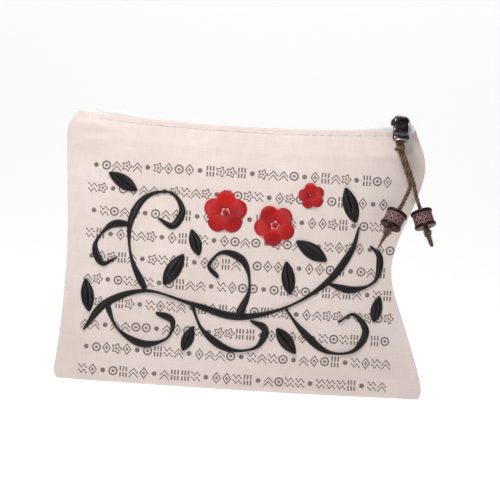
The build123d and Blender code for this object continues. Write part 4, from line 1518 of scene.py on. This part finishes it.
@dataclass
class Charm:
    """The hemp cord on the tab: a hitch, two strands, a carved bead and a knot on each."""

    hitch_at: Vector = Vector((0.0887298, -0.0128547, 0.1559823))
    stem_top: Vector = Vector((0.0887298, -0.0139578, 0.1515577))
    parting: Vector = Vector((0.0974, -0.0155, 0.1301))
    left_bead: Vector = Vector((0.0868, -0.0216, 0.1088))
    right_bead: Vector = Vector((0.1042, -0.0216, 0.1101))
    beside: Vector = Vector((0.00098, -0.0003, 0.0))
    fork: float = 0.005
    cord: float = 0.0023
    knot_gap: float = 0.00855
    run_on: float = 0.0016
    bend: float = 0.0016
    knot_size: float = 0.00066
    knot_cord: float = 0.00112
    hitch_cord: float = 0.00118
    hitch_turn: float = 0.0024
    hitch_apart: float = 0.00128
    hitch_lean: float = 0.0003
    wrap: tuple[float, float, float] = (0.0021, 0.00165, 0.0007)
    tail_start: float = 0.0012
    hitch_hair: tuple[float, float] = (900000.0, 0.0016)
    knot_hair: tuple[float, float] = (800000.0, 0.0018)
    strand_hair: tuple[float, float] = (900000.0, 0.002)
    fibres: FibreTree = field(default_factory=FibreTree)

    def way(self, bead: Vector) -> Vector:
        """Direction of a strand below the parting."""
        return (bead - self.parting).normalized()

    def route(self, bead: Vector, side: int) -> list[Vector]:
        """The points that a strand follows to its bead, on the left with side -1 and the right with 1."""
        beside = side * self.beside
        way = self.way(bead)
        middle = (self.stem_top + self.parting) / 2
        knot = bead + way * self.knot_gap
        return [self.stem_top + beside * 0.8, middle + beside, self.parting + beside,
                self.parting + way * self.fork, bead, knot, knot + way * self.run_on]

    def centreline(self, points: Sequence[Vector]) -> Points:
        """The smooth line of a strand, from a NURBS curve through Blender."""
        curve = bpy.data.curves.new("strand_line", "CURVE")
        curve.dimensions = "3D"
        spline = curve.splines.new("NURBS")
        spline.points.add(len(points) - 1)
        for control, point in zip(spline.points, points):
            control.co = (*point, 1.0)
        spline.use_endpoint_u = True
        spline.order_u = 3
        spline.resolution_u = 24
        return np.array([v.co[:] for v in made_real(linked("strand_line", curve)).vertices])

    def knot(self, name: str, at: Vector, way: Vector) -> bpy.types.Object:
        """An overhand knot about a middle, drawn tight."""
        t = turns_of(120)
        local = np.stack([(2 + np.cos(3 * t)) * np.cos(2 * t), 1.5 * np.sin(3 * t),
                          (2 + np.cos(3 * t)) * np.sin(2 * t) * 0.95], 1) * self.knot_size
        return rope(name, turned_to(way, local, at), self.knot_cord, turn=0.006, closed=True)

    def tail(self, name: str, at: Vector, way: Vector, tail: Tail) -> list[bpy.types.Object]:
        """The cord's end, frayed into its yarns.

        Args:
            name: The yarns' name.
            at: The knot's middle.
            way: The strand's direction.
            tail: Its sizes.

        Returns:
            The yarns.
        """
        chance = np.random.default_rng(tail.seed)
        yarns = []
        for i in range(tail.yarns):
            s = np.linspace(0, 1, 16)
            turn = 2 * pi * i / tail.yarns + tail.twist * s
            out = tail.root + (tail.tip * chance.uniform(0.2, 1.0) - tail.root) * s**0.8
            out = out * (0.35 + 0.65 * (i % 2))
            long = tail.long * chance.uniform(tail.shortest, 1.0)
            local = np.stack([out * np.cos(turn), out * np.sin(turn), self.tail_start + long * s], 1)
            taper = 1.0 - (1.0 - tail.end) * s**1.3
            yarns.append(rope(f"{name}_{i}", turned_to(way, local, at), tail.yarn, turn=0.003, taper=taper))
        return yarns

    def hitch(self) -> bpy.types.Object:
        """Two turns through the tab's slot, gathered by a third."""
        parts = []
        t = turns_of(60)
        c, d = np.cos(t), np.sin(t)
        for side in (-1, 1):
            centre = np.array(self.hitch_at + Vector((side * self.hitch_apart, 0, 0)))
            ring = np.stack([side * self.hitch_lean * d, self.hitch_turn * c, self.hitch_turn * d], 1)
            parts.append(rope(f"turn_{side}", centre + ring, self.hitch_cord, turn=0.0075, closed=True))
        wrap = np.stack([c, d, c], 1) * self.wrap + np.array(self.stem_top)
        parts.append(rope("wrap", wrap, self.hitch_cord, turn=0.0066, closed=True))
        return joined("hitch_cord", parts)

    def build(self) -> None:
        """Build the hitch, the strands, the beads, the knots and their tails."""
        hitch = dress(self.hitch(), HEMP, "hitch", "cord_hitch")
        dress(self.fibres.fray(hitch, "hitch_fibres", self.hitch_hair), HEMP, "hitch")
        for side, word, at, tail in ((-1, "left", self.left_bead, LONG_TAIL),
                                     (1, "right", self.right_bead, BLUNT_TAIL)):
            way = self.way(at)
            bead = Bead(f"carved_bead_{word}", at, way).build()
            dress(bead, WOOD, f"bead_{word}", f"bead_{word}")
            middle = at + way * self.knot_gap
            yarns = self.tail(f"yarn_{word}", middle, way, tail)
            knot = joined(f"cord_knot_{word}", [self.knot(f"turns_{word}", middle, way), *yarns])
            dress(knot, HEMP, f"strand_{word}", f"knot_{word}")
            loose = self.fibres.fray(knot, f"knot_fibres_{word}", self.knot_hair)
            dress(loose, HEMP, f"strand_{word}")
            self.strand(side, word, at)

    def strand(self, side: int, word: str, at: Vector) -> None:
        """Build one strand and its loose fibres, and hide the CAD cords that it stands for.

        Args:
            side: -1 for the left strand, 1 for the right.
            word: left or right.
            at: Its bead's middle.
        """
        raw = self.centreline(self.route(at, side))
        line = even(raw, 170)
        long = float(way_along(raw)[-1])
        piece = rope(f"cord_strand_{word}", line, self.cord / 2)
        loose = self.fibres.fray(piece, f"strand_fibres_{word}", self.strand_hair)
        pivot = self.parting + self.way(at) * self.fork
        reach = self.way(at) * self.bend
        for part in (piece, loose):
            paint(part, HEMP)
            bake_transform(part)
        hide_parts(f"cord_{word}", *(["cord_stem"] if side < 0 else []))
        log.info("%s is %.1f mm long", piece.name, long / MM)


# ------------------------------------------------------------------- metalwork

def sweep(name: str, line: Points, across: Sequence[float], wide: Points, thick: Points,
          square: float = 4.0, sides: int = 32) -> bpy.types.Object:
    """A bar of rounded section along a line that stays square to one direction.

    Args:
        name: The piece's name.
        line: Its middle, in metres.
        across: The direction in which its width lies.
        wide: Half width at each point.
        thick: Half thickness at each point.
        square: 2 for an oval section, more for a squarer one.
        sides: Points in a section.

    Returns:
        The piece.
    """
    across = np.asarray(across, float)
    normal = unit(np.cross(unit(np.gradient(line, axis=0)), across))
    turn = turns_of(sides)
    x, y = power(np.cos(turn), 2 / square), power(np.sin(turn), 2 / square)
    rings = (line[:, None] + (wide[:, None] * x)[..., None] * across
             + (thick[:, None] * y)[..., None] * normal[:, None])
    faces = tube_faces(len(line), sides)
    return piece_of(name, rings, faces, np.zeros((*rings.shape[:2], 2)), mended=True)


@dataclass
class PullTab:
    """The tab: an eye on the crown's bar, a neck, a hooded plate and the rolled lip for the cord."""

    bar: Vector = Vector((0.0887298, 0.0, 0.1706318))
    lean: float = 14.0
    head_front: float = -10.0
    head_down: float = -3.2
    eye: tuple[float, float, float] = (1.5, 0.25, 1.3)
    eye_steps: tuple[int, int] = (48, 16)
    spine: tuple = ((-1.5, 0.0), (-3.0, 0.0), (-5.2, 0.0), (-7.6, -0.2), (-9.4, -1.2), (-10.3, -3.2),
                    (-10.9, -5.6), (-11.7, -8.0), (-13.0, -9.8), (-15.0, -10.9), (-16.7, -12.3),
                    (-17.4, -13.8))
    wide_at: tuple = (0.0, 2.6, 3.6, 4.8, 6.4, 8.6, 12.0)
    wide: tuple = (1.2, 1.25, 2.1, 3.1, 3.9, 4.3, 4.5, 4.55)
    thick_at: tuple = (0.0, 3.0, 6.0, 9.0, 14.0)
    thick: tuple = (0.4, 0.6, 1.0, 1.1, 0.8, 0.55)
    arm: float = 0.8
    frame_route: tuple = ((-3.7, 4.6), (-3.9, 8.0), (-3.9, 10.3), (-3.4, 11.4), (-2.2, 11.8), (0.0, 11.8),
                          (2.2, 11.8), (3.4, 11.4), (3.9, 10.3), (3.9, 8.0), (3.7, 4.6))
    lip: float = 0.62
    lip_route: tuple = ((-4.4, -15.9, -15.1), (-3.6, -16.8, -14.5), (-2.0, -17.4, -14.05),
                        (0.0, -17.55, -13.9), (2.0, -17.4, -14.05), (3.6, -16.8, -14.5),
                        (4.4, -15.9, -15.1))

    def below(self, down: Input) -> Points:
        """Y and Z on the plate's middle, in millimetres from the bar."""
        turn, down = radians(self.lean), np.asarray(down, float)
        return np.stack([self.head_front - down * sin(turn), self.head_down - down * cos(turn)], -1)

    def place(self, x: Input, yz: Points) -> Points:
        """Points in metres from millimetres about the bar."""
        x = np.broadcast_to(np.asarray(x, float), yz.shape[:-1])
        return np.concatenate([x[..., None], yz], -1) * MM + np.array(self.bar)

    def plate(self) -> bpy.types.Object:
        """The neck, the hood and the plate in one sweep, domed in front and flared over the cord."""
        route = smooth_line(self.spine, 110)
        way = way_along(route)
        wide = np.interp(way, [*self.wide_at, way[-1]], self.wide)
        thick = np.interp(way, [*self.thick_at, way[-1]], self.thick)
        return sweep("tab_plate", self.place(0.0, route), (1.0, 0.0, 0.0), wide * MM, thick * MM, 2.5)

    def eye_ring(self) -> bpy.types.Object:
        """The eye, a short sleeve round the bar."""
        radius, wall, half = self.eye
        turn, edge = (turns_of(steps) for steps in self.eye_steps)
        x = half * power(np.cos(edge), 0.4)
        reach = radius + wall * power(np.sin(edge), 0.6)
        yz = np.stack([np.cos(turn)[:, None] * reach, np.sin(turn)[:, None] * reach], -1)
        faces = grid_faces(*self.eye_steps, round_rows=True, round_columns=True)
        return piece_of("tab_eye", self.place(x, yz), faces, np.zeros_like(yz), mended=True)

    def slot_frame(self) -> bpy.types.Object:
        """The round bar down both sides of the slot and across below it, which the cord goes round."""
        flat = smooth_line(self.frame_route, 90)
        line = self.place(flat[:, 0], self.below(flat[:, 1]))
        turn = radians(self.lean)
        radius = np.full(len(line), self.arm * MM)
        return sweep("tab_frame", line, (0.0, -cos(turn), sin(turn)), radius, radius, 2.0, 16)

    def rolled_lip(self) -> bpy.types.Object:
        """The lip rolled along the flared edge."""
        line = smooth_line(self.lip_route, 60) * MM + np.array(self.bar)
        radius = np.full(len(line), self.lip * MM)
        radius[[0, -1]] *= 0.5
        return sweep("tab_lip", line, (0.0, -0.8, -0.6), radius, radius, 2.0, 20)

    def build(self) -> None:
        """Build the tab; its lip takes a lighter copy of the plating, a painted highlight."""
        tab = joined("tab_plate", [self.plate(), self.eye_ring(), self.slot_frame()], mended=True)
        dress(tab, GUNMETAL, "tab", "pull_tab")
        # Painted highlight: the lip gets the lighter copy of the plating.
        dress(self.rolled_lip(), HIGHLIGHT_NICKEL, "tab")


@dataclass
class SliderDome:
    """The domed cheeks at both ends of the slider's crown, open between them for the tab's eye."""

    chain: Chain
    inner: float = 1.95
    outer: tuple[float, float] = (5.45, 6.2)
    base: float = 1.9
    high: float = 3.5
    deep: float = 4.6
    rings: int = 30
    around: int = 28

    def cheek(self, side: int) -> bpy.types.Object:
        """One cheek, a quarter dome with a soft inner edge: the left one with -1, the nose with 1."""
        s = np.linspace(0, 1, self.rings)
        shape = np.sqrt(np.maximum(1 - s**2.2, 0))
        edge = np.clip(s / 0.07, 0, 1) ** 0.5
        turn = turns_of(self.around)
        c, d = np.cos(turn), np.sin(turn)
        out = self.deep * (0.15 + 0.85 * shape * (0.75 + 0.25 * edge))
        y = out[:, None] * power(c, 0.8)
        up = self.high * (0.1 + 0.9 * shape) * (0.82 + 0.18 * edge)
        z = self.base + np.where(d > 0, up[:, None] * np.abs(d) ** 0.85, -0.5 * np.abs(d))
        x = self.chain.slider_at + side * (self.inner + (self.outer[side > 0] - self.inner) * s)
        angles = np.array([self.chain.angle(value) for value in x])
        points = self.chain.points(angles[:, None], -z, y)
        faces = tube_faces(self.rings, self.around)
        uv = np.zeros((*points.shape[:2], 2))
        return piece_of(f"slider_cheek_{side}", points, faces, uv, mended=True)

    def build(self) -> None:
        """Both cheeks ride on the slider; the nose takes a lighter copy of the plating, a painted
        highlight.
        """
        dress(self.cheek(-1), GUNMETAL, "slider")
        # Painted highlight: the nose gets the lighter copy of the plating.
        dress(self.cheek(1), HIGHLIGHT_NICKEL, "slider")


@dataclass
class Metalwork:
    """The CAD pieces that keep their shape: the slider, its crown and spring, and the stops."""

    plated: tuple = ("slider_body", "slider_crown", "slider_lock_spring")
    moulded: tuple = ("zip_top_stops", "zip_bottom_stop")

    def build(self) -> None:
        """Finish the CAD's own pieces."""
        for names, finish in ((self.plated, GUNMETAL), (self.moulded, COIL)):
            for name in names:
                paint(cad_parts[name], finish)
                log.info("%s is finished", name)


# ----------------------------------------------------------------------- stage

@dataclass
class Studio:
    """A white sweep, soft light from above in front, and the photograph's camera."""

    middle: tuple = (0.00303, 0.0, 0.0851)
    span: float = 0.305
    focal: float = 85.0
    sensor: float = 36.0
    tilt: float = 1.5
    roll: float = 3.5
    near: float = 1.5
    back: float = 0.9
    bend: float = 0.6
    tall: float = 2.4
    beside: float = 2.5
    lamps: tuple = (("key", (-0.1, -0.28, 0.52), 2.4, 0.13), ("fill", (0.5, -1.3, 0.6), 0.4, 0.8),
                    ("top", (0.0, 0.5, 1.2), 3.4, 0.9))

    def sweep(self) -> None:
        """The floor, curved up into a backdrop."""
        bend = [(self.back + self.bend * sin(t), self.bend - self.bend * cos(t))
                for t in np.linspace(0, pi / 2, 16)]
        curve = [(-self.near, 0.0), *bend, (self.back + self.bend, self.tall)]
        rows = np.array([[(x, y, z) for x in (-self.beside, self.beside)] for y, z in curve])
        floor = piece_of("floor", rows, grid_faces(len(rows), 2))
        paint(floor, FloorFinish("", "studio_white"))
        floor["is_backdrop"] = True

    def lamp(self, name: str, at: Sequence[float], power: float, size: float) -> None:
        """A square soft light that faces the pouch, in watts and metres."""
        light = bpy.data.lights.new(name, "AREA")
        light.energy, light.size = power, size
        holder = linked(name, light)
        holder.location = at
        aim = Vector(self.middle) - Vector(at)
        holder.rotation_euler = aim.to_track_quat("-Z", "Y").to_euler()

    def camera(self) -> None:
        """Stand the camera in front, rolled as in the photograph."""
        data = bpy.data.cameras.new("camera")
        data.lens, data.sensor_width = self.focal, self.sensor
        far = self.span / self.sensor * self.focal
        tilt, roll = radians(self.tilt), radians(self.roll)
        forward = Vector((0, cos(tilt), -sin(tilt)))
        level = Vector((1, 0, 0))
        upright = level.cross(forward)
        right = level * cos(roll) + upright * sin(roll)
        up = right.cross(forward)
        seat = Matrix((right, up, -forward)).transposed().to_4x4()
        seat.translation = Vector(self.middle) - forward * far
        holder = linked("camera", data)
        holder.matrix_world = seat
        bpy.context.scene.camera = holder

    def build(self) -> None:
        """Set up the whole stage."""
        self.sweep()
        self.camera()
        for name, at, power, size in self.lamps:
            self.lamp(name, at, power, size)
        world = bpy.data.worlds.new("studio")
        world.use_nodes = True
        background = world.node_tree.nodes["Background"].inputs
        background["Color"].default_value = (1, 1, 1, 1)
        background["Strength"].default_value = 0.15
        bpy.context.scene.world = world
        bpy.context.scene.view_settings.view_transform = "Standard"


def main() -> None:
    """Build every sub-assembly in order."""
    logging.basicConfig(level=logging.INFO, format="%(name)s: %(message)s")
    Studio().build()
    front, back = Form(Side.FRONT), Form(Side.BACK)
    Charm().build()
    Pouch(front, back).build()
    chain, stitches = Chain(), StitchTree()
    for form in (front, back):
        ZipTape(chain, form).build()
        Topstitching(form, stitches).build()
    ZipCoil(chain, CoilTree()).build()
    Embroidery(front, stitches).build()
    Metalwork().build()
    SliderDome(chain).build()
    PullTab().build()
    boxes = {"cad": CAD_BOX, "visual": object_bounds()}
    {key: [list(map(float, corner)) for corner in box] for key, box in boxes.items()}


if __name__ == "__main__":
    main()
